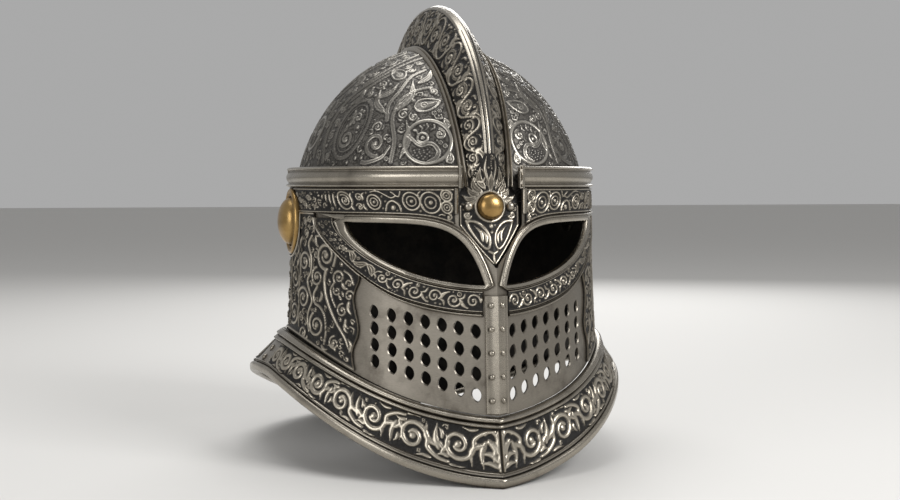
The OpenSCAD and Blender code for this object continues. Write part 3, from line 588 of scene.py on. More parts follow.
def walled(obj, material):
    """Gives a sheet a wall behind it, with its inside painted near black as shade."""
    obj.data.materials.append(material)
    obj.data.materials.append(INSIDE)
    return modify(obj, "SOLIDIFY", thickness=PLATE * MM, offset=-1, use_even_offset=True,
                  material_offset=1, material_offset_rim=0)


def skinned(rings, loop=False):
    """A bar through rings of points, with its ends capped unless it closes on itself."""
    closed = np.concatenate([rings, rings[:, :1]], 1)
    if loop:
        closed = np.concatenate([closed, closed[:1]], 0)
    steps = [weld, face_out] if loop else [weld, cap_ends, face_out]
    return smooth(editing(laid_grid(closed), *steps), 50)


def turned(profile, sides=48):
    """A piece turned about +Z from (radius, height) pairs, closed at the foot and the top."""
    deselect()
    radius, height = profile[0]
    bpy.ops.mesh.primitive_circle_add(vertices=sides, radius=radius * MM, fill_type="NGON",
                                      location=(0, 0, height * MM))
    obj = bpy.context.object
    bpy.ops.object.transform_apply(location=True, rotation=True, scale=True)

    def raise_rings():
        bpy.ops.mesh.select_all(action="SELECT")
        below_r, below_z = profile[0]
        for r, z in profile[1:]:
            bpy.ops.mesh.extrude_region_move(TRANSFORM_OT_translate={"value": (0, 0, (z - below_z) * MM)})
            bpy.ops.transform.resize(value=(r / below_r,) * 2 + (1,), center_override=(0, 0, z * MM))
            below_r, below_z = r, z

    return smooth(editing(obj, raise_rings, face_out), 40)


def dome_of(r, high, first, last, count):
    """Profile of a dome from near its foot to near its top, between two angles in radians."""
    return [(r * math.cos(a), high * math.sin(a)) for a in line(first, last, count)]


def moved(obj, place, normal):
    """Turns a piece made about +Z to a normal, at a place in millimetres, with the place in its mesh."""
    turn = Vector(normal).to_track_quat("Z", "Y").to_matrix().to_4x4()
    obj.data.transform(Matrix.Translation(Vector(place) * MM) @ turn)
    return obj


def twin(obj):
    """A copy of a piece with its own mesh."""
    copy = obj.copy()
    copy.data = obj.data.copy()
    bpy.context.scene.collection.objects.link(copy)
    return copy


def joined(pieces):
    deselect()
    for piece in pieces:
        piece.select_set(True)
    bpy.context.view_layer.objects.active = pieces[0]
    bpy.ops.object.join()
    return pieces[0]


def copies(obj, spots):
    """One piece made of copies of obj, at (place, normal) spots."""
    made = [moved(twin(obj), place, normal) for place, normal in spots]
    bpy.data.objects.remove(obj)
    return joined(made)


# Carving: strokes are (path, half widths, height as a share) and a motif is a list of them
# Reach of the painted shade round a stroke, relief from which ground is taken, a ribbon's edge lines and low
# middle
HALO, TAKEN = 1.6, 0.15
EDGE_W, LOW_TOP = 0.5, 0.42
GRAINS, GOLDEN_ANGLE = 17, 137.5


class Carving:
    """Relief raised on a grid of points by rounded strokes."""

    def __init__(self, base):
        self.shape = base.shape[:2]
        self.points = base.reshape(-1, 3)
        self.relief = np.zeros(len(self.points))
        self.shade_ring = np.zeros(len(self.points))

    def stroke(self, path, width, top=1.0):
        """Raises a rounded stroke, worked a short stretch at a time, and marks the ring of painted shade
        round it.
        """
        stretch = 20
        for k in range(0, len(path), stretch):
            p, r = path[k:k + stretch + 1], width[k:k + stretch + 1]
            reach = r.max() + HALO
            low, high = p.min(0) - reach, p.max(0) + reach
            near = np.flatnonzero(((self.points > low) & (self.points < high)).all(1))
            if near.size:
                d = np.linalg.norm(self.points[near, None] - p, axis=2)
                q = (d / r).min(1)
                raised = top * np.sqrt(np.clip(1 - q * q, 0, 1))
                # Painted shade: a ring round the stroke that the finish darkens.
                shade = np.clip(1 - (d - r).min(1) / HALO, 0, 1)
                self.relief[near] = np.maximum(self.relief[near], raised)
                self.shade_ring[near] = np.maximum(self.shade_ring[near], shade)

    def stems(self, path, half):
        """A ribbon along points on the dome, with a bright line along each side."""
        out = unit((path - MIDDLE) / np.array([SKULL_W, CROWN, CROWN]) ** 2)
        across = unit(np.cross(out, np.gradient(path, axis=0))) * (half - 0.35)[:, None]
        thin = np.full(len(path), EDGE_W)
        self.stroke(path, half, LOW_TOP)
        self.stroke(path + across, thin)
        self.stroke(path - across, thin)

    def draw(self, motif, lay, spin=0.0, flip=1):
        """Draws a flat motif, turned by spin, through a function that lays it on a surface."""
        c, s = math.cos(math.radians(spin)), math.sin(math.radians(spin))
        for path, width, top in motif:
            x, y = path[:, 0] * flip, path[:, 1]
            self.stroke(lay(x * c - y * s, x * s + y * c), width, top)

    def fill(self, lay_at, sizes, tries):
        """Fills the bare ground with scrolls, rings and beads, the largest first."""
        edge = self.points.reshape(*self.shape, 3)
        border = np.concatenate([edge[0], edge[-1], edge[:, 0], edge[:, -1]])[::3]
        for size in sizes:
            taken = self.points[self.relief > TAKEN][::2]
            for k in draws.integers(0, len(self.points), tries):
                spot, spin, flip = self.points[k], draws.uniform(0, 360), draws.choice((-1, 1))
                near = taken[(np.abs(taken - spot) < 2 * size + 1).all(1)]
                rooms = [np.linalg.norm(p - spot, axis=1).min() for p in (near, border) if len(p)]
                free = min([2 * size] + rooms) - 0.5
                if free >= size:
                    before = self.relief.copy()
                    self.draw(filler(min(free, size * 1.7)), lay_at(k), spin=spin, flip=flip)
                    taken = np.concatenate([taken, self.points[(self.relief > TAKEN) & (before <= TAKEN)]])

    def fill_flat(self, sizes, tries):
        """Fills the bare ground, with each small drawing flat on the surface."""
        edge = self.points.reshape(*self.shape, 3)
        rows, cols = self.shape

        def lay_at(k):
            i, j = min(max(k // cols, 1), rows - 2), min(max(k % cols, 1), cols - 2)
            right, up = unit(edge[i + 1, j] - edge[i - 1, j]), unit(edge[i, j + 1] - edge[i, j - 1])
            return lambda x, y: self.points[k] + x[:, None] * right + y[:, None] * up

        self.fill(lay_at, sizes, tries)

    def grid(self, values):
        return values.reshape(self.shape)


def smooth_path(points):
    """A smooth path through points, with eight steps from each to the next."""
    p = np.asarray(points, float)
    p = np.concatenate([2 * p[:1] - p[1:2], p, 2 * p[-1:] - p[-2:-1]])
    t = line(0, 1, 9)[:, None]
    parts = []
    for a, b, c, d in zip(p, p[1:], p[2:], p[3:]):
        parts.append(0.5 * (2 * b + (c - a) * t + (2 * a - 5 * b + 4 * c - d) * t ** 2
                            + (3 * b - a - 3 * c + d) * t ** 3))
    return np.concatenate(parts)


def spaced(path, run, s):
    """Points of a flat path at shares s of its run."""
    return np.stack([np.interp(s * run[-1], run, path[:, k]) for k in (0, 1)], 1)


def curve(points, w0, w1=None, top=1.0):
    """A stroke through points, its half width going from w0 to w1."""
    path = smooth_path(points)
    run = run_along(path)
    w1 = w0 if w1 is None else w1
    count = max(3, int(run[-1] / (0.45 * max(0.35, min(w0, w1)))) + 1)
    s = line(0, 1, count)
    return spaced(path, run, s), mix(w0, w1, s), top


def beside(path, far):
    """Steps to the left of a flat path, each as long as far says."""
    d = np.gradient(path, axis=0)
    return unit(np.stack([-d[:, 1], d[:, 0]], 1)) * far[:, None]


def edged(path, half):
    """A low ribbon with a bright line along each side."""
    across = beside(path, half - EDGE_W * 0.8)
    thin = np.full(len(path), EDGE_W)
    return [(path, half, LOW_TOP), (path + across, thin, 1.0), (path - across, thin, 1.0)]


def ribbon(points, w0, w1=None):
    path, half, _ = curve(points, w0, w1)
    return edged(path, half)


def ring(x, y, r, w, top=1.0, squash=1.0):
    a = line(0, 360, max(12, int(2 * math.pi * r / (0.45 * w))))
    return np.stack([x + r * cos(a), y + r * squash * sin(a)], 1), np.full(len(a), w), top


def bead(x, y, r, top=1.0):
    return np.array([[x, y]]), np.array([r]), top


def volute(x, y, r, turns, start, hand, w, inner=0.2):
    """A scroll that winds inwards to a bead."""
    count = max(16, int(2 * math.pi * r * turns * 0.62 / (0.45 * w * 0.7)))
    s = line(0, 1, count)
    radius = r * mix(1, inner, s ** 0.85)
    a = start + hand * 360 * turns * s
    path = np.stack([x + radius * cos(a), y + radius * sin(a)], 1)
    return [(path, w * mix(1.0, 0.65, s), 1.0), bead(x, y, max(0.9, (0.02 + 0.85 * inner) * r))]


def scroll(x, y, r, turns, start, hand, w):
    """A ribbon that winds inwards to a bead."""
    wind, bud = volute(x, y, r, turns, start, hand, w)
    return edged(wind[0], wind[1]) + [bud]


def leaf_path(x0, y0, x1, y1, bend):
    """The bent middle line of a leaf, and shares along it."""
    mid = np.array([(x0 + x1) / 2 - bend * (y1 - y0), (y0 + y1) / 2 + bend * (x1 - x0)])
    path, _, _ = curve([(x0, y0), mid, (x1, y1)], 0.5)
    return path, line(0, 1, len(path))


def leaf(x0, y0, x1, y1, wide, bend=0.0):
    """A pointed leaf with a bright outline and a raised rib, or a plain one if it is narrow."""
    path, s = leaf_path(x0, y0, x1, y1, bend)
    blade = wide * np.maximum(0.1, np.sin(math.pi * s ** 0.75) ** 0.9)
    if wide < 1.6:
        return [(path, np.maximum(blade, 0.3), 0.9)]
    across = beside(path, np.maximum(blade - 0.35, 0))
    thin = np.full(len(path), 0.45)
    outline = [(path + across, thin, 1.0), (path - across, thin, 1.0)]
    return [(path, blade, 0.4)] + outline + [(path[:-3], thin[3:], 0.85)]


def plump(x0, y0, x1, y1, wide, bend=0.0):
    """A solid rounded leaf, widest near its foot."""
    path, s = leaf_path(x0, y0, x1, y1, bend)
    return (path, wide * np.maximum(0.16, np.sin(math.pi * s ** 0.62) ** 0.8), 0.95)


def scaled(points, r):
    return [(x * r, y * r) for x, y in points]


# Motifs, each as shares of its size
def roundel(r):
    """A broad ring, an S-band that runs under a small eye and down, strokes above it and grains below."""
    made = [ring(0, 0, 0.91 * r, 1.35)]
    band = ((0.88, 0.36), (0.64, 0.16), (0.42, -0.08), (0.2, -0.18), (-0.04, -0.1), (-0.26, -0.16),
            (-0.42, -0.4), (-0.34, -0.68), (-0.08, -0.86))
    made += ribbon(scaled(band, r), 0.9, 1.7)
    made += [ring(0.2 * r, 0.15 * r, 0.2 * r, 0.9), bead(0.2 * r, 0.15 * r, 0.09 * r)]
    made += scroll(-0.46 * r, 0.3 * r, 0.23 * r, 1.3, 80, 1, 0.9)
    for a in (42, 64, 86, 108):
        stroke = [(far * r * cos(a + turn), far * r * sin(a + turn))
                  for far, turn in ((0.74, 0), (0.62, 4), (0.5, -5))]
        made.append(curve(stroke, 0.8, 0.4, 0.85))
    for k in range(GRAINS):
        far = np.sqrt((k + 0.5) / GRAINS)
        a = GOLDEN_ANGLE * k
        made.append(bead((0.2 + 0.4 * far * cos(a)) * r, (-0.51 + 0.22 * far * sin(a)) * r, 0.04 * r, 0.7))
    return made


def tall_oval(r):
    """A tall oval frame round two scrolls, a leaf and three beads."""
    a = line(0, 360, 90)
    made = edged(np.stack([0.62 * r * cos(a), 0.96 * r * sin(a)], 1), np.full(90, 1.5))
    made += [ring(0, 0, 0.48 * r, 0.5, 0.8, squash=1.6)]
    made += scroll(0.02 * r, -0.36 * r, 0.33 * r, 1.6, 60, -1, 1.2)
    made += scroll(-0.05 * r, 0.34 * r, 0.2 * r, 1.3, -80, 1, 1.0)
    made += leaf(0.12 * r, 0.02 * r, 0.24 * r, 0.56 * r, 0.08 * r, 0.1)
    return made + [bead(x * r, y * r, size * r)
                   for x, y, size in ((-0.26, 0.05, 0.07), (0.22, 0, 0.06), (-0.3, -0.1, 0.04))]


def teardrop(length, wide):
    """A raised drop with a dark eye."""
    half = length / 2
    body, _, _ = curve([(-0.3 * length, 0), (0, 0.02 * wide), (half * 0.95, -0.1 * wide)], 0.5)
    s = line(0, 1, len(body))
    outline = [(half, -0.1 * wide), (0.2 * length, 0.34 * wide), (-0.12 * length, 0.5 * wide),
               (-0.42 * length, 0.3 * wide), (-0.5 * length, -0.06 * wide), (-0.3 * length, -0.44 * wide),
               (0.08 * length, -0.42 * wide), (half, -0.1 * wide)]
    tail = [(0.06 * length, 0), (0.22 * length, -0.02 * wide), (0.36 * length, -0.06 * wide)]
    return [(body, np.maximum(0.4, 0.42 * wide * (1 - s ** 1.5)), 0.4), curve(outline, 0.75),
            ring(-0.14 * length, 0, 0.2 * wide, 0.55), bead(-0.14 * length, 0, 0.085 * wide),
            curve(tail, 0.45, 0.35)]


def filler(r):
    """A small motif for a bare spot, plainer the smaller it is."""
    if r > 6:
        blade = leaf(-0.8 * r, -0.3 * r, -0.2 * r, -0.98 * r, 0.16 * r, 0.25)
        return scroll(0, 0, 0.84 * r, 1.7, 200, 1, 1.25) + blade
    if r > 3.4:
        blade = leaf(0.5 * r, 0.72 * r, 0.95 * r, 0.1 * r, 0.7, 0.2)
        return volute(0, 0, 0.82 * r, 1.5, 200, 1, 0.75) + blade
    if r > 2.2:
        hook = ((-0.7, 0.5), (0, 0.75), (0.75, 0.1), (0.2, -0.55))
        return [curve(scaled(hook, r), 0.5, 0.65), bead(-0.1 * r, -0.05 * r, 0.22 * r)]
    if r > 1.4:
        return [ring(0, 0, 0.66 * r, 0.42, 0.9), bead(0, 0, 0.25 * r)]
    return [bead(0, 0, 0.7 * r, 0.75)]


def waves_of(spots, height):
    """Start, length, height and hand of each wave of a running scroll."""
    for k, (a, b) in enumerate(zip(spots, spots[1:])):
        yield a, b - a, float(height((a + b) / 2)), 1 if k % 2 else -1


def acanthus(spots, height, w):
    """A bold running scroll: thick stems that curl to a bud, with plump leaves between them."""
    made = []
    for a, p, h, hand in waves_of(spots, height):
        r = min(0.41 * h, 0.36 * p)
        x, y = a + 0.6 * p, -0.04 * h * hand
        made += volute(x, y, r, 1.4, 180, -hand, w, 0.27)
        stem = [(a - 0.2 * p, -0.45 * h * hand), (a + 0.02 * p, -0.4 * h * hand),
                (x - 1.05 * r, y - 0.45 * r * hand), (x - r, y)]
        made += [curve(stem, w * 0.6, w)]
        lobes = ((a + 0.04 * p, -0.12, a + 0.3 * p, 0.43, 0.085, 0.3),
                 (a, -0.2, a + 0.06 * p, 0.46, 0.09, 0.12),
                 (a - 0.05 * p, -0.25, a - 0.14 * p, 0.28, 0.08, -0.2),
                 (a + 0.16 * p, -0.46, a + 0.5 * p, -0.48, 0.05, -0.1),
                 (x + 0.5 * r, 0.46, x - 0.5 * r, 0.47, 0.05, 0.1))
        made += [plump(x0, y0 * h * hand, x1, y1 * h * hand, wide * h, -bend * hand)
                 for x0, y0, x1, y1, wide, bend in lobes]
        for turn, reach in ((58, 1.5), (26, 1.5), (-8, 1.42)):
            tip = turn - 24
            foot_x, foot_y = x + r * cos(turn), y + r * sin(turn) * hand
            tip_x, tip_y = x + reach * r * cos(tip), y + reach * r * sin(tip) * hand
            made.append(plump(foot_x, foot_y, tip_x, tip_y, 0.06 * h, -0.15 * hand))
    return made


def vine(spots, height, w):
    """A running scroll: a waving stem, a scroll in each wave, and leaves that spring from the stem."""
    made, wave = [], []
    for a, p, h, hand in waves_of(spots, height):
        wave += [(a + x * p, hand * y * h) for x, y in ((0, 0), (0.2, 0.31), (0.5, 0.43), (0.8, 0.31))]
        r = min(0.33 * h, 0.37 * p)
        large = r > 5
        wind, wind_w = (scroll, w * 1.15) if large else (volute, w * 0.8)
        made += wind(a + 0.53 * p, -hand * 0.06 * h, r, 1.6, 180, -hand, wind_w)
        link = [(a + 0.01 * p, 0), (a + 0.08 * p, hand * 0.1 * h), (a + 0.53 * p - r, -hand * 0.05 * h)]
        made.append(curve(link, w * 0.75))
        for x, y, reach, wide, bend in ((0.06, -0.1, 0.24, 0.06, -0.3), (0.0, -0.08, 0.02, 0.06, 0.15),
                                        (-0.05, -0.07, -0.22, 0.06, 0.3)):
            tip_x = a + (x + reach) * p
            made += leaf(a + x * p, hand * y * h, tip_x, -hand * 0.45 * h, wide * h, bend * hand)
        made += leaf(a + 0.78 * p, hand * 0.12 * h, a + 0.99 * p, hand * 0.3 * h, 0.045 * h, 0.3 * hand)
        made += leaf(a + 0.6 * p, -hand * 0.42 * h, a + 0.88 * p, -hand * 0.26 * h, 0.045 * h, -0.25 * hand)
        made.append(bead(a + 0.42 * p, -hand * 0.45 * h, 0.04 * h))
    wave.append((spots[-1], 0))
    return made + [curve(wave, w)]


# Panels: a fine carved front, walls, and a coarse back that keeps some rows and columns
BACK_STEP = 4
# Heights of a panel over its plate: its ground, the depth of the carving on that, and its back
DOME_CUT = (0.12, 0.85, 0.02)
COMB_CUT = (0.15, 1.1, -0.02)
BROW_CUT = (-0.35, 1.0, -5.0)
FRIEZE_CUT = (0.75, 1.15, 0.3)
UNDER_CUT = (0.75, 1.0, 0.3)
CHEEK_CUT = (0.6, 1.15, 0.3)
GORGET_CUT = (0.5, 1.35, 0.02)


def border_of(n, m):
    """Places round the border of a grid of n by m, in order."""
    rim = [(i, 0) for i in range(n)] + [(n - 1, j) for j in range(1, m)]
    return rim + [(i, m - 1) for i in range(n - 2, -1, -1)] + [(0, j) for j in range(m - 2, 0, -1)]


def back_faces(index, keep_i, keep_j):
    """Faces of the coarse back, which take in every point along the border."""
    n, m = index.shape
    faces = []
    for i0, i1 in zip(keep_i, keep_i[1:]):
        for j0, j1 in zip(keep_j, keep_j[1:]):
            low = [(i, j0) for i in (range(i0, i1) if j0 == 0 else [i0])]
            right = [(i1, j) for j in (range(j0, j1) if i1 == n - 1 else [j0])]
            high = [(i, j1) for i in (range(i1, i0, -1) if j1 == m - 1 else [i1])]
            left = [(i0, j) for j in (range(j1, j0, -1) if i0 == 0 else [j1])]
            faces.append([int(index[c]) for c in reversed(low + right + high + left)])
    return faces


def sharpen(mesh, kind):
    """Marks as sharp each edge between two border points of the same kind; kind 0 is no border point."""
    pairs = np.empty(len(mesh.edges) * 2, int)
    mesh.edges.foreach_get("vertices", pairs)
    ends = kind[pairs.reshape(-1, 2)]
    sharp = mesh.attributes.new("sharp_edge", "BOOLEAN", "EDGE")
    sharp.data.foreach_set("value", (ends[:, 0] > 0) & (ends[:, 0] == ends[:, 1]))


def carved(name, front, back, relief, shade_ring):
    """A closed panel, with its relief and its ring of painted shade kept for its finish."""
    n, m = front.shape[:2]
    keep_i = sorted({*range(0, n, BACK_STEP), n - 1})
    keep_j = sorted({*range(0, m, BACK_STEP), m - 1})
    on_back = np.zeros((n, m), bool)
    on_back[np.ix_(keep_i, keep_j)] = True
    on_back[[0, -1], :] = True
    on_back[:, [0, -1]] = True
    index = np.full((n, m), -1)
    index[on_back] = n * m + np.arange(on_back.sum())
    at = np.arange(n * m).reshape(n, m)
    rim = border_of(n, m)
    faces = np.stack([at[:-1, :-1], at[1:, :-1], at[1:, 1:], at[:-1, 1:]], -1).reshape(-1, 4).tolist()
    for a, b in zip(rim, rim[1:] + rim[:1]):
        faces.append([int(at[b]), int(at[a]), int(index[a]), int(index[b])])
    faces += back_faces(index, keep_i, keep_j)
    mesh = bpy.data.meshes.new(name)
    points = np.concatenate([front.reshape(-1, 3), back[on_back]]) * MM
    mesh.from_pydata(points.tolist(), [], faces)
    for label, values, rest in (("relief", relief, 0.0), ("shade_ring", shade_ring, 1.0)):
        layer = mesh.attributes.new(label, "FLOAT", "POINT")
        kept = np.concatenate([values.ravel(), np.full(on_back.sum(), rest)])
        layer.data.foreach_set("value", kept.astype(np.float32))
    mesh.polygons.foreach_set("use_smooth", np.ones(len(mesh.polygons), bool))
    kind = np.zeros(len(points), int)
    for i, j in rim:
        kind[at[i, j]], kind[index[i, j]] = 1, 2
    sharpen(mesh, kind)
    mesh.update()
    obj = bpy.data.objects.new(name, mesh)
    bpy.context.scene.collection.objects.link(obj)
    return obj


def carved_panel(name, surface, carving, heights, material, body, nodes=(), mirror=False):
    """A carved panel on a surface that takes a height; mirror makes the same panel on the other side."""
    ground, depth, foot = heights
    relief, shade_ring = carving.grid(carving.relief), carving.grid(carving.shade_ring)
    front, back = surface(ground + depth * relief), surface(np.full(relief.shape, foot))
    if mirror:
        front, back, relief, shade_ring = front[::-1] * MIRROR, back[::-1] * MIRROR, relief[::-1], shade_ring[::-1]
    return finished(carved(name, front, back, relief, shade_ring), name, material, body, "relief_steel", *nodes)


def sided(node, side):
    return [node + "_" + side] if node else []


def carved_pair(name, surface, carving, heights, material, body, node=None):
    for side, mirror in SIDES:
        carved_panel(name + "_" + side, surface, carving, heights, material, body, sided(node, side), mirror)


def hump(a, b, foot, top, count=6):
    """A rounded moulding between two places across a profile."""
    return [(mix(a, b, k), foot + (top - foot) * math.sin(math.pi * k)) for k in line(0, 1, count + 1)]


def swept(surface, path, profile):
    """Rings of points where a profile runs along a path on a surface."""
    return np.stack([surface(path, across, high) for across, high in profile], 1)


def trim(name, rings, material, body, slot, *nodes, loop=False):
    return finished(skinned(rings, loop), name, material, body, slot, *nodes)


def trim_pair(name, rings, material, body, slot, node=None, loop=False):
    for side, mirror in SIDES:
        own = rings * MIRROR if mirror else rings
        trim(name + "_" + side, own, material, body, slot, *sided(node, side), loop=loop)


class Strip:
    """A strip of a surface, measured along its middle and across it in millimetres."""

    def __init__(self, point, first, last):
        self.point = point
        self.u = line(first, last, 600)
        self.run = run_along(point(self.u, 0.5, 0))
        self.high = np.linalg.norm(point(self.u, 1.0, 0) - point(self.u, 0.0, 0), axis=1)
        self.length = self.run[-1]

    def height(self, x):
        return np.interp(x, self.run, self.high)

    def lay(self, x, y):
        return self.point(np.interp(x, self.run, self.u), 0.5 + y / self.height(x), 0)

    def lay_at(self, x, y):
        """Lays drawings round a place given as shares of the length and of the height there."""
        along = x * self.length
        up = y * float(self.height(along))
        return lambda a, b: self.lay(a + along, b + up)

    def carving(self, cols, rows):
        along = np.interp(line(0, self.length, cols), self.run, self.u)
        self.at = np.meshgrid(along, line(0, 1, rows), indexing="ij")
        return Carving(self.point(*self.at, 0))

    def surface(self, off):
        return self.point(*self.at, off)

    def waves(self, ratio):
        """Places along the strip, spaced by its height times a ratio."""
        spots = [0.0]
        while spots[-1] < self.length:
            spots.append(spots[-1] + ratio * float(self.height(spots[-1])))
        return np.array(spots) * self.length / spots[-1]

    def border(self, cut, inset, w):
        """Raises a line along both edges."""
        x = line(0, self.length, int(self.length / 0.5))
        for sign in (-1, 1):
            cut.stroke(self.lay(x, sign * (self.height(x) / 2 - inset)), np.full(len(x), w))


# Dome: carved halves between the band and the comb's ribs, drawn at bearings and elevations
# Lower edge as bearings and elevation, and upper edge as turns over the crown and gap to the rib
DOME_FROM, DOME_TO, DOME_LOW = 10.6, 169.4, 17.2
CREST_FROM, CREST_TO, CREST_GAP = 18.2, 162.0, 0.2
# Place, size and spin of each roundel, oval and drop, and the points of each stem
DOME_ROUNDELS = ((22, 25.6, 17.4, 0), (88, 30, 14, 30), (118, 27.5, 17.4, -10), (152, 26, 14.4, 15),
                 (100, 56, 14.4, 60))
DOME_OVALS = ((58, 31, 24, 12), (136, 47, 18, -20))
DOME_DROPS = ((22.6, 39, 18, 165), (44, 54, 17, 40), (14.4, 31.8, 7, 80), (13.4, 20.2, 7.5, 100),
              (62, 63, 16, 30), (158, 43, 16, 20), (120, 66, 15, 60), (74, 52, 12, 70))
DOME_STEMS = (((36, 18.8), (35.5, 26), (38, 34), (36, 41), (29, 45), (21, 46.5)),
              ((40.5, 33), (41.5, 39), (38, 45), (34, 52), (26, 56)),
              ((48.6, 19), (46, 18.8), (40, 20.5), (37, 24)),
              ((70, 19), (74, 30), (71, 42), (58, 52), (42, 61), (28, 66)),
              ((67.5, 42), (57, 49.5), (47, 55.5)), ((66, 49), (52, 60), (36, 69)),
              ((79.5, 21), (81, 33), (80.5, 45)),
              ((102, 19), (104, 30), (101, 42), (91, 50), (76, 60), (60, 71)),
              ((110, 42), (114, 50), (116, 58)),
              ((135, 19), (137, 28), (132, 34), (124, 42)), ((144, 34), (150, 50), (146, 62)),
              ((165, 22), (166, 34), (160, 54), (140, 70)))
# Foot, tip, half width and bend of each leaf
DOME_LEAVES = (((39, 36), (31, 50), 2.6, 0.2), ((43, 36), (49, 46), 2.4, -0.2),
               ((30, 48), (22, 56), 2.2, 0.2), ((66, 40), (60, 47), 2.2, 0.2),
               ((33, 20), (31, 33), 1.9, 0.15), ((50, 42), (40, 49), 2.2, 0.2),
               ((90, 44), (80, 58), 2.6, 0.2), ((110, 46), (104, 38), 2.2, 0.2),
               ((128, 33), (130, 20), 2.2, 0.2), ((148, 40), (140, 58), 2.6, -0.2))


def dome_grid(count_u, count_s):
    """Directions over one half of the dome, in rows from the band up to the comb's rib."""
    v = line(0, 1, count_u)
    low = skull_unit(mix(DOME_FROM, DOME_TO, v), np.full(count_u, DOME_LOW))
    turn = mix(CREST_FROM, CREST_TO, v)
    x = comb_w((turn - COMB_START) / (COMB_END - COMB_START)) + RIB_GAP + RIB_WIDE + CREST_GAP
    k = np.sqrt(1 - (x / SKULL_W) ** 2)
    high = np.stack([x / SKULL_W, -k * cos(turn), k * sin(turn)], -1)
    angle = np.arccos(np.clip((low * high).sum(-1), -1, 1))[:, None]
    s = line(0, 1, count_s)[None]
    from_low, from_high = (np.sin(share * angle) / np.sin(angle) for share in (1 - s, s))
    return low[:, None] * from_low[..., None] + high[:, None] * from_high[..., None]


def skull_unit(u, e):
    """Direction at a bearing and an elevation, before the skull's sizes are applied."""
    return np.stack([sin(u) * cos(e), -cos(u) * cos(e), sin(e)], -1)


def on_skull(d, off):
    """Dome point in a direction."""
    reach = np.where(d[..., 1] > 0, SKULL_BACK, CROWN)
    off = np.asarray(off, float)
    return np.stack([d[..., 0] * (SKULL_W + off), PIVOT_Y + d[..., 1] * (reach + off),
                     PIVOT_Z + d[..., 2] * (CROWN + off)], -1)


def to_unit(p):
    """Direction of a point of the dome."""
    q = p - MIDDLE
    reach = np.where(q[..., 1] > 0, SKULL_BACK, CROWN)
    return unit(np.stack([q[..., 0] / SKULL_W, q[..., 1] / reach, q[..., 2] / CROWN], -1))


def dome_lay(spot):
    """Lays flat drawings on the dome round a spot, with up towards the crown."""
    d = to_unit(spot)
    right = unit(np.cross(np.array([0, 0, 1.0]), d) + 1e-9)
    up = unit(np.cross(d, right))
    right, up = (unit(v * np.array([SKULL_W, CROWN, CROWN])) for v in (right, up))
    return lambda x, y: on_skull(to_unit(spot + x[:, None] * right + y[:, None] * up), 0)


def dome_at(u, e):
    return dome_lay(skull(u, e, 0))


def along_dome(points, w0, w1):
    """A path of bearings and elevations as points on the dome, with half widths."""
    path, _, _ = curve(points, 0.5)
    run = run_along(skull(path[:, 0], path[:, 1], 0))
    s = line(0, 1, int(run[-1] / 0.4))
    path = spaced(path, run, s)
    return skull(path[:, 0], path[:, 1], 0), mix(w0, w1, s)


def dome_leaf(cut, start, end, wide, bend):
    """Draws a leaf between two points of the dome."""
    lay = dome_lay(on_skull(to_unit((start + end) / 2), 0))
    span, toward = float(np.linalg.norm(end - start)), unit(end - start)
    origin, right, up = lay(np.array([0, 1.0, 0]), np.array([0, 0, 1.0]))
    spin = math.degrees(math.atan2(toward @ unit(up - origin), toward @ unit(right - origin)))
    cut.draw(leaf(-span / 2, 0, span / 2, 0, wide, bend), lay, spin)


def make_dome():
    d = dome_grid(421, 151)
    cut = Carving(on_skull(d, 0))
    for u, e, r, spin in DOME_ROUNDELS:
        cut.draw(roundel(r), dome_at(u, e), spin)
    for u, e, r, spin in DOME_OVALS:
        cut.draw(tall_oval(r), dome_at(u, e), spin)
    for u, e, size, spin in DOME_DROPS:
        cut.draw(teardrop(size, size * 0.6), dome_at(u, e), spin)
    cut.draw(scroll(0, 0, 9.2, 1.35, 250, 1, 1.4), dome_at(43.5, 25))
    for points in DOME_STEMS:
        cut.stems(*along_dome(points, 1.5, 1.0))
    for foot, tip, wide, bend in DOME_LEAVES:
        dome_leaf(cut, skull(*foot, 0), skull(*tip, 0), wide, bend)
    cut.fill(lambda k: dome_lay(cut.points[k]), (7, 4.6, 3.2, 2.1, 1.4, 1.0), 520)
    carved_pair("dome_carving", lambda off: on_skull(d, off), cut, DOME_CUT, DOME_STEEL, "helmet")


# Skull plate and nape
# Half width of the tongue in degrees, its tip, height of the brow's edge, and lap inside the collar
TONGUE, TONGUE_TIP, BROW_EDGE, NECK_LAP = 12, 7 - BROW_POINT, 15, 12
# Bearings over which the edge drops to the wall, and the wall's share of the rows
WALL_FROM, WALL_RUN, WALL_SHARE = 62, 22, 0.4


def skull_edge(u):
    """Lower edge of the skull plate, as elevation or drop: a tongue, the brow, and the wall behind."""
    a = np.abs(u)
    brow = math.degrees(math.asin(BROW_EDGE / CROWN))
    low = collar_z(u) - NECK_LAP - PIVOT_Z
    behind = mix(brow, low, ease((a - WALL_FROM) / WALL_RUN))
    return np.where(a < TONGUE, mix(TONGUE_TIP, brow, a / TONGUE), behind)


def make_skull():
    u = line(-180, 180, 181)
    rows = line(0, 1, 61)
    low = skull_edge(u)[:, None]
    over_wall = 90 * (rows - WALL_SHARE) / (1 - WALL_SHARE)
    with_wall = np.where(rows < WALL_SHARE, low * (1 - rows / WALL_SHARE), over_wall)
    obj = laid_grid(skull(u[:, None], np.where(low < 0, with_wall, mix(low, 90, rows)), 0))
    editing(obj, lambda: weld(1e-6))
    walled(obj, DOME_STEEL)
    finished(smooth(obj), "skull_plate", None, "helmet", "polished_steel", "skull")


def nape_point(u, s, off):
    low, high = collar_z(wrap(u)) - PIVOT_Z + 2, BAND_LOW + 1
    h = mix(low, high, s)
    return skull(wrap(u), np.where(h > 0, np.degrees(np.arcsin(np.clip(h, 0, None) / CROWN)), h), off)


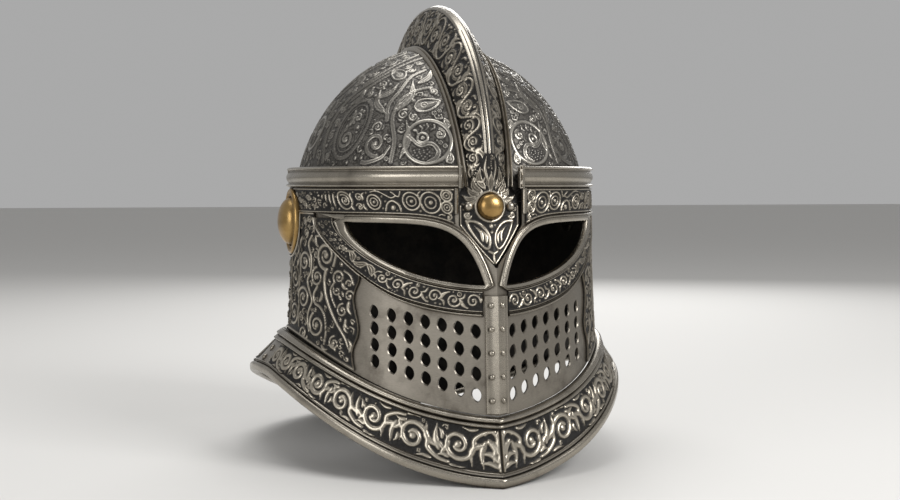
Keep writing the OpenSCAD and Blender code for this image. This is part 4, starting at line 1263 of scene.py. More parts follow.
def make_nape():
    nape = Strip(nape_point, 95, 265)
    cut = nape.carving(341, 91)
    for x, y, r, spin in ((0.22, -0.08, 22, 0), (0.5, -0.1, 26, 20), (0.78, -0.08, 22, 0)):
        cut.draw(roundel(r), nape.lay_at(x, y), spin)
    for x, hand in ((0.1, 1), (0.36, -1), (0.64, 1), (0.9, -1)):
        for y, r in ((-0.28, 15), (0.2, 14)):
            cut.draw(volute(0, 0, r, 2.0, 90, hand, 1.3), nape.lay_at(x, y))
    nape.border(cut, 2.2, 0.9)
    cut.fill_flat((9, 6, 4, 2.5, 1.5), 420)
    carved_panel("nape_carving", nape.surface, cut, DOME_CUT, DOME_STEEL, "helmet")


# Comb: a core, carved flanks, a bright edge and the ribs along its foot
RIB_PROFILE = ([(0, 0.3), (0.0, 0.9)] + hump(0.0, 0.46, 0.9, RIB_HIGH + 0.4) + [(0.5, 0.8)]
               + hump(0.54, 1.0, 0.9, RIB_HIGH + 0.4) + [(1, 0.3)])


def rib_point(k, across, high):
    """Rib at a share k of its length; it fills the space beside the visor's notch at its foot."""
    wide = mix(5.5, RIB_WIDE, ease(k * 8))
    return over_crown(comb_w(k) + RIB_GAP + across * wide, mix(COMB_START - 1.7, COMB_END, k), high)


def comb_edge_section(t):
    """Rings of the bright edge, which caps both flanks."""
    top = comb_edge(t)
    down = unit(top - over_crown(0 * t, mix(COMB_START, COMB_END, t), SEAT))
    half = [comb_flank(t, s, off) for s, off in ((0.9, -0.6), (0.905, 0.4), (0.92, 0.75), (0.97, 0.6))]
    for x, drop in ((0.95, 0.8), (0.65, 0.25), (0.3, 0.04), (0.0, 0.0)):
        rim = top - down * drop
        rim[:, 0] += x * comb_tip(t)
        half.append(rim)
    return np.stack(half + [p * MIRROR for p in half[-2::-1]], 1)


def make_comb():
    t = line(0, 1, 121)
    half = [comb_flank(t, s, -0.05) for s in line(0, 0.97, 9)]
    core = np.stack(half + [p * MIRROR for p in half[::-1]], 1)
    trim("comb_core", core, FRIEZE_STEEL, "helmet", "relief_steel", "comb")
    flank = Strip(lambda t, s, off: comb_flank(t, mix(0.08, 0.92, s), off), 0.004, 0.996)
    cut = flank.carving(521, 47)
    cut.draw(vine(flank.waves(0.8), flank.height, 0.9), flank.lay)
    cut.fill_flat((3.4, 2.3, 1.5, 1.0), 600)
    carved_pair("comb_carving", flank.surface, cut, COMB_CUT, FRIEZE_STEEL, "helmet")
    trim("comb_bright_edge", comb_edge_section(t), POLISHED, "helmet", "polished_steel")
    rib = swept(rib_point, line(0, 1, 141), RIB_PROFILE)
    # The ribs take the lighter steel as painted light.
    trim_pair("comb_foot_rib", rib, LIT_RIB_STEEL, "helmet", "polished_steel", "comb_rib")


# Bands round the brow and the back
BAND = ([(0, 0.3)] + hump(0, 2.6, 0.8, 2.6) + [(2.9, 0.7)] + hump(3.3, 10.9, 0.9, 2.5, 10) + [(11.3, 0.7)]
        + hump(11.6, 14, 0.8, 2.4) + [(14, 0.3)])


def arm_rear(h):
    """Rear end of the visor's band at a height above the pivots."""
    return min(VISOR_REAR + ARM_LEAN * (h + ARM_LOW), math.sqrt(ARM_R ** 2 - h * h)) - 0.5


def front_band(t, across, high):
    h = BAND_LOW + across
    first = face_bearing(BAND_END + 0.5, PIVOT_Z + h)
    last = 90 + math.degrees(math.asin(arm_rear(h) / VISOR_BACK))
    return face(mix(first, last, t), PIVOT_Z + h, high)


def rear_band(t, across, high):
    h = BAND_LOW + across
    first = 90 + math.degrees(math.asin(math.sqrt((ARM_R + 1.2) ** 2 - h * h) / SKULL_BACK))
    return skull(mix(first, BACK_END, t), math.degrees(math.asin(h / CROWN)), high)


def turned_lip(t, inward, up):
    """The visor's turned-in lip, which stops just clear of the carved dome and turns with the visor."""
    low = VISOR_RISE - 1.5
    u = mix(face_bearing(BAND_END + 0.9, PIVOT_Z + low), LIP_END, t)
    outer = face(u, PIVOT_Z + low + up, -0.8)
    rise = math.degrees(math.asin(low / (CROWN + LIP_CLEAR)))
    from_middle = np.maximum(outer[..., 0], LIP_START)
    ahead = np.degrees(np.arcsin(np.clip(from_middle / ((SKULL_W + LIP_CLEAR) * cos(rise)), 0, 1)))
    inner = skull(mix(ahead, u, ease((u - 25) / 30)), np.full(u.shape, rise), LIP_CLEAR)
    inner[..., 2] = outer[..., 2]
    return mix(outer, inner, inward)


def upright(low, high, count, start, wide, top):
    """Rings of an upright moulding on the visor, from one height to another."""
    profile = [(start, 0.3)] + hump(start, start + wide, 0.6, top) + [(start + wide, 0.3)]
    return swept(lambda h, x, off: face_at(x, h, off), line(low, high, count), profile)


def make_bands():
    lip = swept(turned_lip, line(0, 1, 61), [(1, 0), (0, 0), (0, 1.2), (1, 1.2)])
    trim_pair("visor_turned_lip", lip, DULL, "visor", "polished_steel")
    front, rear = swept(front_band, line(0, 1, 121), BAND), swept(rear_band, line(0, 1, 91), BAND)
    trim_pair("brow_moulding", front, POLISHED, "visor", "polished_steel", "brow_band")
    trim_pair("back_moulding", rear, POLISHED, "helmet", "polished_steel", "rear_band")
    stop = upright(BAND_LOW - 0.3, BAND_LOW + BAND_H + 0.3, 15, BAND_END + 0.4, 2.8, 3.3)
    trim_pair("band_stop", stop, POLISHED, "visor", "polished_steel")
    divider = upright(7.4, BAND_LOW - 0.2, 17, BROW_W + NOTCH + 0.3, 2.2, 2.3)
    trim_pair("brow_divider", divider, POLISHED, "visor", "polished_steel")


# Brow plate, boss and beads, at distances from the middle and heights above the pivots
# The leaf over the comb's foot: heights with how far forward it comes, and heights with its half width
LEAF_H, LEAF_FORWARD = (20, 25, 35, BROW_TOP), (0, 1.6, 4.2, 6.6)
HALF_H, HALF_W = (14, 19, 23.5, 28, 33, 40, BROW_TOP), (BROW_W, 19.6, 16.8, 13.2, 9.8, 6.2, 3.2)
# Height from which the leaf stands free of the skull, its thickness and its slope
LEAF_FREE, LEAF_THICK, LEAF_SLOPE = 24, 3.4, 0.62
# A loop below the boss, and leaves round and over it as foot, tip, half width and bend
BROW_LOOP = ((15.6, 2.6), (13.4, -3), (9.6, -9.6), (5.4, -14.4), (2.7, -14), (1.8, -10), (2.6, -5), (6, -0.4),
             (10.4, 2.2), (15.6, 2.6))
BROW_LEAVES = ((9.6, 15.5, 18.4, 13.6, 1.4, -0.2), (9, 17.5, 17.6, 19, 1.6, -0.2),
               (7.4, 19.4, 14.2, 24.6, 1.9, -0.2), (5.2, 20.6, 10.4, 30.4, 2.1, -0.2),
               (3.4, 23, 6.4, 37, 1.9, -0.15), (1.4, 27, 2.6, 44, 1.3, -0.1))


def brow_front(x, h, off):
    """Brow plate, which comes forward to the keel at its point and climbs as a leaf over the comb's foot."""
    x, h, off = arrays(x, h, off)
    climb = ease((h - 17) / 12)
    forward = 0.51 * (BROW_W - brow_w(np.minimum(h, 0)))
    slope = mix(BROW_SLOPE, LEAF_SLOPE, climb)
    r = BROW_RIDGE + forward + np.interp(h, LEAF_H, LEAF_FORWARD) - slope * np.abs(x) + off
    return np.stack([x, PIVOT_Y - np.sqrt(r * r - h * h), PIVOT_Z + h], -1)


def brow_half(h):
    """Half width of the brow plate with its leaf."""
    return np.where(h < HALF_H[0], brow_w(h), np.interp(h, HALF_H, HALF_W))


def brow_flat(x, h):
    return brow_front(x, h, 0)


def carve_brow(cut):
    low_edge = line(2 - BROW_POINT, 12, 120)
    for sign in (1, -1):
        inside = np.maximum(0, brow_half(low_edge) - 1.1)
        cut.stroke(brow_flat(sign * inside, low_edge), np.full(len(low_edge), 0.8))
        cut.draw(volute(15, 6.4, 2.5, 1.2, 200, 1, 0.85, 0.3), brow_flat, flip=sign)
        cut.draw([curve(BROW_LOOP, 0.95), plump(3.9, -11.6, 6.8, -2.6, 1.1, 0.15),
                  plump(6.2, -10.6, 10.6, -0.4, 1.2, 0.15)], brow_flat, flip=sign)
        for blade in BROW_LEAVES:
            cut.draw(leaf(*blade), brow_flat, flip=sign)
    cut.draw([bead(0, -0.6, 1.6), bead(0, -4.4, 1.1), curve([(-2.9, -16.6), (0, -17.8), (2.9, -16.6)], 0.9),
              plump(0, -18.8, 0, -24, 1.2), ring(0, BOSS_H, 9.6, 1.0)], brow_flat)
    cut.draw(leaf(0, 21.6, 0, 34, 1.9), brow_flat)
    cut.fill_flat((1.6, 1.0), 300)


def make_brow():
    k, h = np.meshgrid(line(-1, 1, 81), line(1 - BROW_POINT, BROW_TOP, 141), indexing="ij")
    x = k * brow_half(h)
    cut = Carving(brow_flat(x, h))
    carve_brow(cut)

    def surface(off):
        """The carved front or, for a height below -1, the seat on the skull and the back of the leaf."""
        front = brow_front(x, h, off)
        reach = CROWN + 0.6
        seat = PIVOT_Y - reach * np.sqrt(1 - (x / (SKULL_W + 0.3)) ** 2 - (np.maximum(0, h) / reach) ** 2)
        seat = np.where(h > LEAF_FREE, front[..., 1] + LEAF_THICK, seat)
        return np.where((off < -1)[..., None], np.stack([x, seat, PIVOT_Z + h], -1), front)

    carved_panel("brow_carving", surface, cut, BROW_CUT, FRIEZE_STEEL, "helmet", ["brow_plate"])
    lift = math.asin(BOSS_H / BROW_RIDGE)
    normal = (0, -math.cos(lift), math.sin(lift))

    def place(r):
        return (0, PIVOT_Y - r * math.cos(lift), PIVOT_Z + r * math.sin(lift))

    collar = turned([(8.4, -3), (8.4, 0.2), (8.1, 0.7), (7.5, 0.8)])
    finished(moved(collar, place(BROW_RIDGE), normal), "brow_boss_seat", GILT, "helmet", "gilt")
    boss = turned([(8.1, 0)] + dome_of(8.1, 5.0, 0.1, 1.5, 12))
    moved(boss, place(BROW_RIDGE + 0.7), normal)
    finished(boss, "brow_gilt_dome", GILT, "helmet", "gilt", "brow_boss")
    bead_dome = turned([(3.1, -0.6)] + dome_of(3.1, 2.9, 0, 1.45, 9), 32)
    r = BROW_RIDGE - BROW_SLOPE * BEAD_X
    spots = []
    for sign in (-1, 1):
        spot = (sign * BEAD_X, PIVOT_Y - math.sqrt(r * r - BOSS_H ** 2), PIVOT_Z + BOSS_H)
        spots.append((spot, (sign * BROW_SLOPE, -math.cos(math.asin(BOSS_H / r)), BOSS_H / r)))
    # The beads take the lighter steel as painted light.
    finished(copies(bead_dome, spots), "brow_pair_beads", LIT_RIB_STEEL, "helmet", "polished_steel", "brow_beads")


# Visor plate with its cuts; the cutters reach well past the plate
FAR, ABOVE, BELOW = 300, 80, -160


def extruded(outline, levels):
    """A cutter from an outline, extruded through (height, wider, taller) levels."""
    deselect()
    bpy.ops.mesh.primitive_circle_add(vertices=len(outline), radius=1, fill_type="NGON")
    obj = bpy.context.object
    height, wide, tall = levels[0]
    for vertex, (x, y) in zip(obj.data.vertices, outline):
        vertex.co = (x * wide * MM, y * tall * MM, height * MM)

    def raise_levels():
        bpy.ops.mesh.select_all(action="SELECT")
        last_h, last_w, last_t = levels[0]
        for h, w, t in levels[1:]:
            bpy.ops.mesh.extrude_region_move(TRANSFORM_OT_translate={"value": (0, 0, (h - last_h) * MM)})
            if (w, t) != (last_w, last_t):
                bpy.ops.transform.resize(value=(w / last_w, t / last_t, 1), center_override=(0, 0, h * MM))
            last_h, last_w, last_t = h, w, t

    return editing(obj, raise_levels, face_out)


def front_cutters():
    """Cutters from the front: both eyes, and the notch round the brow plate and the comb's foot."""
    ahead = Matrix.Translation(Vector(MIDDLE) * MM) @ Matrix.Rotation(math.pi / 2, 4, "X")
    eye = eye_outline(40)
    low = line(-BROW_POINT - NOTCH, 0, 14)
    notch = [(w + NOTCH, h) for w, h in zip(brow_w(low), low)]
    notch += [(BROW_W + NOTCH, BAND_LOW), (BAND_END, BAND_LOW), (BAND_END, ABOVE)]
    made = []
    for outline in (eye, eye * MIRROR[:2], notch + [(-x, h) for x, h in notch[::-1]]):
        cut = extruded(outline, [(20, 1, 1), (260, 1, 1)])
        cut.data.transform(ahead)
        made.append(cut)
    return made


def rear_cutter():
    """Cutter from the side, which leaves the arms that run round the temples to the pivots."""
    sideways = Matrix(((0, 0, 1, 0), (1, 0, 0, 0), (0, 1, 0, 0), (0, 0, 0, 1)))
    outline = [(VISOR_REAR, BELOW), (VISOR_REAR, -ARM_LOW)]
    outline += [(arm_rear(h) + 0.5, h) for h in line(1 - ARM_LOW, ARM_R - 0.1, 60)]
    outline += [(0, ARM_R), (0, ABOVE), (FAR, ABOVE), (FAR, BELOW)]
    cut = extruded(outline, [(-FAR, 1, 1), (FAR, 1, 1)])
    cut.data.transform(Matrix.Translation(Vector(MIDDLE) * MM) @ sideways)
    return cut


def breath_cutter():
    """A lens-shaped cutter that widens at the plate's face."""
    bend = (BREATH_WIDE ** 2 + BREATH_TALL ** 2) / (4 * BREATH_WIDE)
    reach = math.asin(BREATH_TALL / 2 / bend)
    arc = [(bend * math.cos(a) - bend + BREATH_WIDE / 2, bend * math.sin(a)) for a in line(-reach, reach, 11)]
    lens = arc + [(-x, -y) for x, y in arc[1:-1]]
    return extruded(lens, [(-7, 1, 1), (-0.6, 1, 1), (0.5, 1.32, 1.16)])


def breath_spots():
    """Places of the breaths, with the way out of the plate at each."""
    for sign in (-1, 1):
        for column in range(BREATH_COLS):
            out = BREATH_STEP * column
            x = sign * (BREATH_FIRST + out)
            for row in range(BREATH_ROWS):
                h = BREATH_TOP + 0.18 * out - row * BREATH_DROP * (1 - 0.0036 * out)
                at = face_at(x, h, 0)
                yield at, unit(face_at(x, h, 1) - at)


def make_visor():
    u = line(-VISOR_END, VISOR_END, 211)[:, None]
    z = mix(collar_z(u) + SILL, PIVOT_Z + VISOR_RISE, line(0, 1, 91)[None])
    plate = laid_grid(face(u, z, 0))
    walled(plate, DULL)
    cutters = front_cutters() + [rear_cutter()]
    hole = breath_cutter()
    upwards = np.array((0, 0, 1))
    for at, out in breath_spots():
        copy = twin(hole)
        right, lean = np.cross(upwards, out), math.copysign(BREATH_LEAN, at[0])
        tall_way = upwards * cos(lean) + right * sin(lean)
        wide_way = right * cos(lean) - upwards * sin(lean)
        rows = [(wide_way[k], tall_way[k], out[k], at[k] * MM) for k in range(3)]
        copy.data.transform(Matrix(rows + [(0, 0, 0, 1)]))
        cutters.append(copy)
    bpy.data.objects.remove(hole)
    tool = joined(cutters)
    modify(plate, "BOOLEAN", object=tool, operation="DIFFERENCE", solver="EXACT")
    bpy.data.objects.remove(tool)
    finished(smooth(plate, 25), "visor_plate", None, "visor", "polished_steel", "visor")


# Eye rims and the pieces round them
RIM_PROFILE = ((-0.25, -1.7), (-0.25, 0.9), (0.2, 1.5), (0.9, 1.85), (3.0, 2.25), (3.35, 2.1), (3.55, 1.8),
               (3.8, 2.05), (4.2, 2.45), (4.6, 2.3), (4.95, 1.6), (5.0, 0.1), (0.3, -1.7))
CORNER_PROFILE = ((0, 0.1), (0.02, 0.9), (0.25, 2.0), (0.55, 2.3), (0.85, 2.1), (0.98, 1.2), (1, 0.1))
UNDER_BAR = [(0, 0.2)] + hump(0, 0.3, 0.8, 1.6, 4) + hump(0.33, 1, 0.9, 2.2) + [(1, 0.2)]


def rim_share(down):
    """The eye rim's share of its full width, which is less where the rim faces down, below the eye."""
    return mix(1.0, 0.64, ease(-1.2 * down))


def corner_bar(x, k, off):
    """The bar that runs out to a tip from the eye's outer corner."""
    low = mix(1.8, 5.9, ease((x - EYE_OUT) / (CORNER_TIP - EYE_OUT)))
    return face_at(x, mix(low, 6.6, k), off)


def make_eyes():
    loop = eye_outline(70)
    out = outward(loop)
    wide = rim_share(out[:, 1])[:, None]
    rings = np.stack([face_at(*(loop + out * d * wide).T, off) for d, off in RIM_PROFILE], 1)
    trim_pair("eye_moulding", rings, POLISHED, "visor", "polished_steel", "eye_rim", loop=True)
    rings = swept(corner_bar, line(EYE_OUT - 1, CORNER_TIP, 28), CORNER_PROFILE)
    trim_pair("eye_corner_bar", rings, POLISHED, "visor", "polished_steel")


def round_eye(t, d, off):
    """Face point at a share t of the way under the eye and round its outer corner, d outside its rim."""
    x = 8 + (EYE_OUT - 8) * sin(line(0, 90, 160))
    corner = np.stack([np.full(8, EYE_OUT), line(EYE_TOP + 0.2, EYE_TOP + 2, 8)], 1)
    path = np.concatenate([np.stack([x, eye_lower(x)], 1), corner])
    step = np.gradient(path, axis=0)
    out = unit(np.stack([step[:, 1], -step[:, 0]], 1))
    run = run_along(path)
    x, h, out_x, out_h = (np.interp(np.asarray(t) * run[-1], run, v) for v in (*path.T, *out.T))
    d = d + RIM_WIDE * rim_share(out_h)
    return face_at(x + d * out_x, h + d * out_h, off)


def under_w(t):
    """Width of the carved strip under the eye."""
    return mix(13.2, 7.8, ease((np.asarray(t) - 0.42) / 0.5))


def bar_w(t):
    """Width of the bar below that strip."""
    return mix(2.7, 1.0, ease((np.asarray(t) - 0.3) / 0.4))


def under_point(t, s, off):
    return round_eye(t, 0.6 + under_w(t) * (1 - s), off)


def under_bar(t, d, off):
    return round_eye(t, 0.8 + under_w(t) + d * bar_w(t), off)


def brow_bearing(t, h):
    """Bearing of the brow frieze at a height h, from the brow plate to the pivot ring."""
    last = np.degrees(np.arccos(np.sqrt(RING_CLEAR ** 2 - h ** 2) / VISOR_REACH))
    return mix(face_bearing(BROW_W + NOTCH + FRIEZE_START, PIVOT_Z + h), last, t)


def brow_low(t):
    """Height of the brow frieze's lower edge, which follows the eye rim."""
    t = np.asarray(t, float)
    x = face(brow_bearing(t, np.full_like(t, FRIEZE_LOW)), PIVOT_Z + FRIEZE_LOW, 0)[..., 0]
    slope = (EYE_TOP + EYE_LOW) / EYE_SWEEP * np.exp(-(x - EYE_IN) / EYE_SWEEP)
    return np.minimum(FRIEZE_LOW, eye_upper(x) + RIM_WIDE * np.sqrt(1 + slope ** 2) + 0.8)


def brow_point(t, s, off):
    h = mix(brow_low(t), BAND_LOW - 0.7, s)
    return face(brow_bearing(t, h), PIVOT_Z + h, off)


def eyed(x, y, r):
    """A ringed eye."""
    return [ring(x, y, r, 0.7), ring(x, y, 0.56 * r, 0.55, 0.9), bead(x, y, 0.24 * r)]


def brow_motif():
    """Ringed eyes, arches and scrolls along the brow frieze, from the brow plate to the pivot."""
    made = eyed(4.9, 6.0, 3.5) + eyed(4.7, -1.6, 3.6) + eyed(15.6, 0.2, 6.7) + eyed(28.4, 0.4, 5.7)
    made += volute(3.3, -7.6, 2.1, 1.2, 90, 1, 0.6)
    made += [curve([(6.2, -6.8), (8.6, -6.6), (10.4, -7.8)], 0.6, 0.4),
             curve([(21.6, 7), (23.6, 4.6), (21.9, 1.8)], 0.5),
             curve([(34.5, 6.6), (36.8, 3.2), (41, 6.4)], 0.6, 0.45),
             curve([(36, -6.2), (37.6, -1.8), (41.5, 0.4), (45.4, -1.8), (47, -6.2)], 0.8),
             bead(41.5, -4.2, 1.9),
             curve([(38.6, 3.4), (42, 2.4), (46, 4.6), (49.5, 6.8)], 0.6, 0.45)]
    made += eyed(55, -0.6, 5.0) + [curve([(48.6, 6.2), (51.8, 6.9), (55.5, 6.3)], 0.5)]
    made += volute(66, 2.6, 3.4, 1.4, 200, -1, 0.7) + volute(67, -4.2, 2.8, 1.4, 20, 1, 0.65)
    made += leaf(61, 5.8, 64, 0.4, 1.1, 0.2) + leaf(61.4, -6.4, 63.6, -1.2, 1.0, -0.2)
    made += [ring(79, 0.4, 6.4, 0.7)] + volute(79, 0.4, 4.6, 1.7, 60, 1, 0.7)
    made += leaf(71.6, 6, 73.2, -1, 1.0, 0.15) + leaf(72.2, -6.6, 74, -2, 0.9, -0.2)
    for k in range(5):
        made += leaf(88 + 4.2 * k, 6.4 - 0.6 * k, 89.6 + 4.2 * k, -6 + 2.4 * k, 1.0, 0.12)
    return made


def under_motif():
    """Linked scrolls under the eye, and leaves where the strip narrows."""
    made = []
    for x, r, hand in ((6, 4.9, 1), (19, 5.0, -1), (32, 4.8, 1), (45.4, 4.9, -1), (58, 4.3, 1),
                       (69.5, 3.5, -1), (106, 2.4, 1)):
        made += volute(x, 0.2 * hand, r, 1.35, 180, -hand, 0.78)
        before = [(x - r, 0), (x - r - 1.6, 2.4 * hand), (x - r - 4.2, 4.7 * hand)]
        after = [(x + r * 0.7, -0.9 * r * hand), (x + 1.5 * r, -0.6 * r * hand), (x + 1.9 * r, 0.9 * hand)]
        made += [curve(before, 0.78, 0.5), curve(after, 0.65, 0.45)]
        made += leaf(x + 1.1 * r, 0.95 * r * hand, x + 2 * r, 0.2 * r * hand, 0.85, -0.25 * hand)
    for x, hand in ((76, 1), (85, -1), (94, 1)):
        made += leaf(x, -2.9 * hand, x + 9.5, 2.6 * hand, 2.3, 0.16 * hand) + [bead(x + 1.5, 2.3 * hand, 0.9)]
    return made


def make_friezes():
    strip = Strip(brow_point, 0, 1)
    cut = strip.carving(241, 43)
    cut.draw(brow_motif(), strip.lay)
    strip.border(cut, 0.6, 0.5)
    cut.fill_flat((2.2, 1.5, 0.95), 520)
    carved_pair("brow_frieze_carving", strip.surface, cut, FRIEZE_CUT, FRIEZE_STEEL, "visor", "brow_frieze")
    strip = Strip(under_point, 0.0, 1.0)
    cut = strip.carving(221, 29)
    cut.draw(under_motif(), strip.lay)
    strip.border(cut, 0.45, 0.42)
    cut.fill_flat((1.3, 0.85), 420)
    carved_pair("under_eye_carving", strip.surface, cut, UNDER_CUT, FRIEZE_STEEL, "visor", "under_eye")
    bar = swept(under_bar, line(0, 1, 91), UNDER_BAR)
    trim_pair("under_eye_bar", bar, POLISHED, "visor", "polished_steel")


# Cheeks, drawn at bearings and heights above the pivots
# Scrolls: place, radius, turns, start, hand and width
CHEEK_SCROLLS = ((61, -21.5, 9.6, 1.5, 262, 1, 2.1), (65.6, -36.5, 6.8, 1.35, 80, -1, 1.6),
                 (74.4, -27, 7.8, 1.4, 200, -1, 1.7), (82.4, -39, 7.8, 1.35, 100, 1, 1.7),
                 (74.6, -52, 8.4, 1.4, 10, 1, 1.8), (82.2, -63, 8.6, 1.4, 300, -1, 1.8),
                 (65.2, -69, 8.8, 1.4, 60, -1, 1.8), (73.6, -76, 6.0, 1.3, 200, 1, 1.5),
                 (54.4, -35.5, 5.2, 1.2, 330, 1, 1.4), (55.2, -44.5, 3.4, 1.1, 20, -1, 1.0),
                 (49.6, -47.4, 4.2, 1.15, 200, -1, 1.3), (52.6, -57.4, 4.6, 1.2, 90, -1, 1.3),
                 (55.8, -79.5, 4.8, 1.3, 90, -1, 1.4), (88.8, -52, 5.2, 1.2, 40, -1, 1.4),
                 (49.8, -39.4, 2.8, 1.0, 0, 1, 1.2), (66.4, -21, 3.6, 1.1, 90, 1, 1.3))
# Stems: points, and the width at each end
CHEEK_STEMS = ((((67, -9), (62, -8.4), (57.6, -12.5), (56, -20), (57.2, -28)), 1.2, 1.8),
               (((60.8, -31), (61.6, -38), (60.8, -47), (58.6, -56), (55, -66), (51.2, -75),
                 (49.4, -82)), 2.5, 1.1),
               (((65.4, -43), (67.4, -48.5), (66.6, -54), (63.2, -57), (60.8, -63), (60, -73),
                 (60.6, -81)), 1.7, 1.2),
               (((69.5, -9), (71.6, -15), (69.7, -23), (69.6, -33), (71.8, -39.5), (70.4, -46), (68.4, -53),
                 (70.2, -60), (70.8, -66), (69.4, -74)), 1.7, 1.2),
               (((78, -22), (77.6, -36), (78.4, -46), (78, -58), (77.4, -72)), 1.6, 1.2),
               (((56.4, -39), (58.2, -44), (57.4, -50), (55.6, -55.5)), 1.3, 1.0),
               (((52, -31), (49.4, -34), (47.9, -40)), 1.2, 1.0),
               (((87.4, -26), (87, -42), (86.6, -56), (87.4, -70)), 1.5, 1.2))
# Leaves: place, length, spin and width
CHEEK_LEAVES = ((49.2, -55.5, 9, 255, 2.1), (51.6, -41, 7, 215, 1.8), (50.6, -69, 7, 240, 1.6),
                (63.6, -49, 8, 100, 2.0), (66, -13, 8, 240, 1.8), (50.4, -66, 7, 250, 1.4),
                (57, -83, 9, 20, 1.7), (77, -14, 9, 290, 1.9), (49.4, -80, 9, 80, 1.7),
                (60.4, -83, 7, 200, 1.5))
# Width of the panel, with a waving front edge, and about how long a degree is on it
CHEEK_FROM, CHEEK_WAVE, CHEEK_TO = 46.6, 1.1, 92.4
DEGREE_W = math.radians(1) * 110


def cheek_top(u):
    """Height of the cheek panel's upper edge, which follows the bar under the eye and then the pivot ring."""
    p = face(u, PIVOT_Z, 0)
    x, y = p[..., 0], PIVOT_Y - p[..., 1]
    t = line(0, 1, 200)
    rail = round_eye(t, 0.3 + bar_w(t) + under_w(t), 0)
    by_eye = np.interp(x, np.maximum.accumulate(rail[:, 0]), rail[:, 2] - PIVOT_Z, right=6.7)
    return np.where(y > RING_CLEAR, by_eye, -np.sqrt(np.clip(RING_CLEAR ** 2 - y ** 2, 0, None)))


def cheek_at(u, h):
    """Lays drawings on the cheek round a bearing and a height."""
    return lambda x, y: face(u + x / DEGREE_W, PIVOT_Z + h + y, 0)


def make_cheeks():
    s = line(0, 1, 131)
    first = CHEEK_FROM + CHEEK_WAVE * np.sin(11 * s)
    share = np.concatenate([line(0, 0.42, 46)[:-1], line(0.42, 0.6, 40)[:-1], line(0.6, 1, 50)])
    u = mix(first[None], CHEEK_TO, share[:, None])
    z = mix(collar_z(u) + 2.5, PIVOT_Z + cheek_top(u), s[None])
    edge = face(u, z, 0)
    cut = Carving(edge)
    for at, h, r, turns, start, hand, w in CHEEK_SCROLLS:
        cut.draw(volute(0, 0, r, turns, start, hand, 0.7 * w, 0.3), cheek_at(at, h))
    for points, w0, w1 in CHEEK_STEMS:
        from_u, from_h = points[0]
        path = [((at - from_u) * DEGREE_W, h - from_h) for at, h in points]
        cut.draw([curve(path, 0.72 * w0, 0.72 * w1)], cheek_at(from_u, from_h))
    for at, h, length, spin, w in CHEEK_LEAVES:
        cut.draw([plump(-length / 2, 0, length / 2, 0, 0.85 * w, 0.2)], cheek_at(at, h), spin)
    for rim in (edge[0], edge[:, 0], edge[:, -1]):
        cut.stroke(rim, np.full(len(rim), 1.1))
    cut.fill_flat((3.0, 2.2, 1.5), 420)
    carved_pair("cheek_carving", lambda off: face(u, z, off), cut, CHEEK_CUT, FRIEZE_STEEL, "visor",
                "cheek_panel")


# Keel strip, rivets and pivots, with heights above the pivots
KEEL_LOW, KEEL_HIGH = -119, -44.6
RIVET_LOW, RIVET_HIGH, RIVET_ROWS, RIVET_X = -111, -50.6, 5, 3.2
KEEL_HALF = [(7.0, 0.3), (7.0, 1.2)] + hump(6.9, 4.9, 1.2, 2.4, 5) + [(4.4, 1.05), (2.2, 1.1), (0.7, 1.35)]
PIVOT_RING = ((17.6, -2.6), (17.6, 0.9), (18.1, 1.5), (18.8, 1.3), (19.3, 1.0), (19.8, 1.35), (20.6, 2.1),
              (21.5, 2.35), (22.4, 2.1), (23.1, 1.3), (23.4, 0.4), (23.4, -2.6))


def make_keel():
    profile = KEEL_HALF + [(0, 1.75)] + [(-x, off) for x, off in KEEL_HALF[::-1]]
    rings = swept(lambda h, x, off: face_at(x, h, off), line(KEEL_LOW, KEEL_HIGH, 60), profile)
    trim("keel_ridge_strip", rings, POLISHED, "visor", "polished_steel", "keel_strip")
    rivet = turned([(1.9, -0.7), (1.9, 0.1)] + dome_of(1.75, 1.25, 0.15, 1.45, 6), 24)
    spots = []
    for h in line(RIVET_LOW, RIVET_HIGH, RIVET_ROWS):
        for x in (-RIVET_X, RIVET_X):
            at, out = face_at(x, h, 1.3), face_at(x, h, 2.3)
            spots.append((at, unit(out - at)))
    finished(copies(rivet, spots), "keel_dome_rivets", POLISHED, "visor", "polished_steel", "keel_rivets")


def make_pivots():
    a = line(0, 360, 97)[:-1]
    rings = []
    for r, out in PIVOT_RING:
        x = np.full(len(a), VISOR_W + 0.6 + out)
        rings.append(np.stack([x, PIVOT_Y + r * cos(a), PIVOT_Z + r * sin(a)], 1))
    trim_pair("pivot_gilt_ring", np.stack(rings, 1), GILT, "visor", "gilt", "pivot_ring", loop=True)
    arc = [(16.6 * math.cos(v), 0.9 + 9.1 * math.sin(v)) for v in line(0.06, 1.5, 14)]
    for side, mirror in SIDES:
        sign = -1 if mirror else 1
        dome = turned([(17, 0), (17, 0.7), (16.8, 1.0)] + arc, 64)
        moved(dome, (sign * (VISOR_W + 0.9), PIVOT_Y, PIVOT_Z), (sign, 0, 0))
        finished(dome, "pivot_gilt_dome_" + side, GILT, "helmet", "gilt", "pivot_boss_" + side)


# Gorget: name of each half, its ends as bearings, and how far it lies inside the front
GORGET_PLATES = (("front", (-LAP_END, LAP_END), 0), ("rear", (LAP, 360 - LAP), LAP_OFF))
GORGET_TRIMS = (("front", (-LAP_END, LAP_END), 0), ("rear", (LAP_END + 0.5, 359.5 - LAP_END), LAP_OFF))
GORGET_COLS = 195
COLLAR = [(7.6, 0.1)] + hump(7.6, 4.2, 0.8, 2.8) + hump(4.2, 0.4, 1.0, 3.2) + [(0.4, 0.1)]
BEAD_LINE = [(0.925, 0.0)] + hump(0.925, 0.965, 0.1, 1.3) + [(0.965, 0.0)]


def squared(v):
    """A rounded square's place for the sine or cosine of its angle."""
    return ROLL_FLAT * np.sign(v) * np.abs(v) ** 0.6


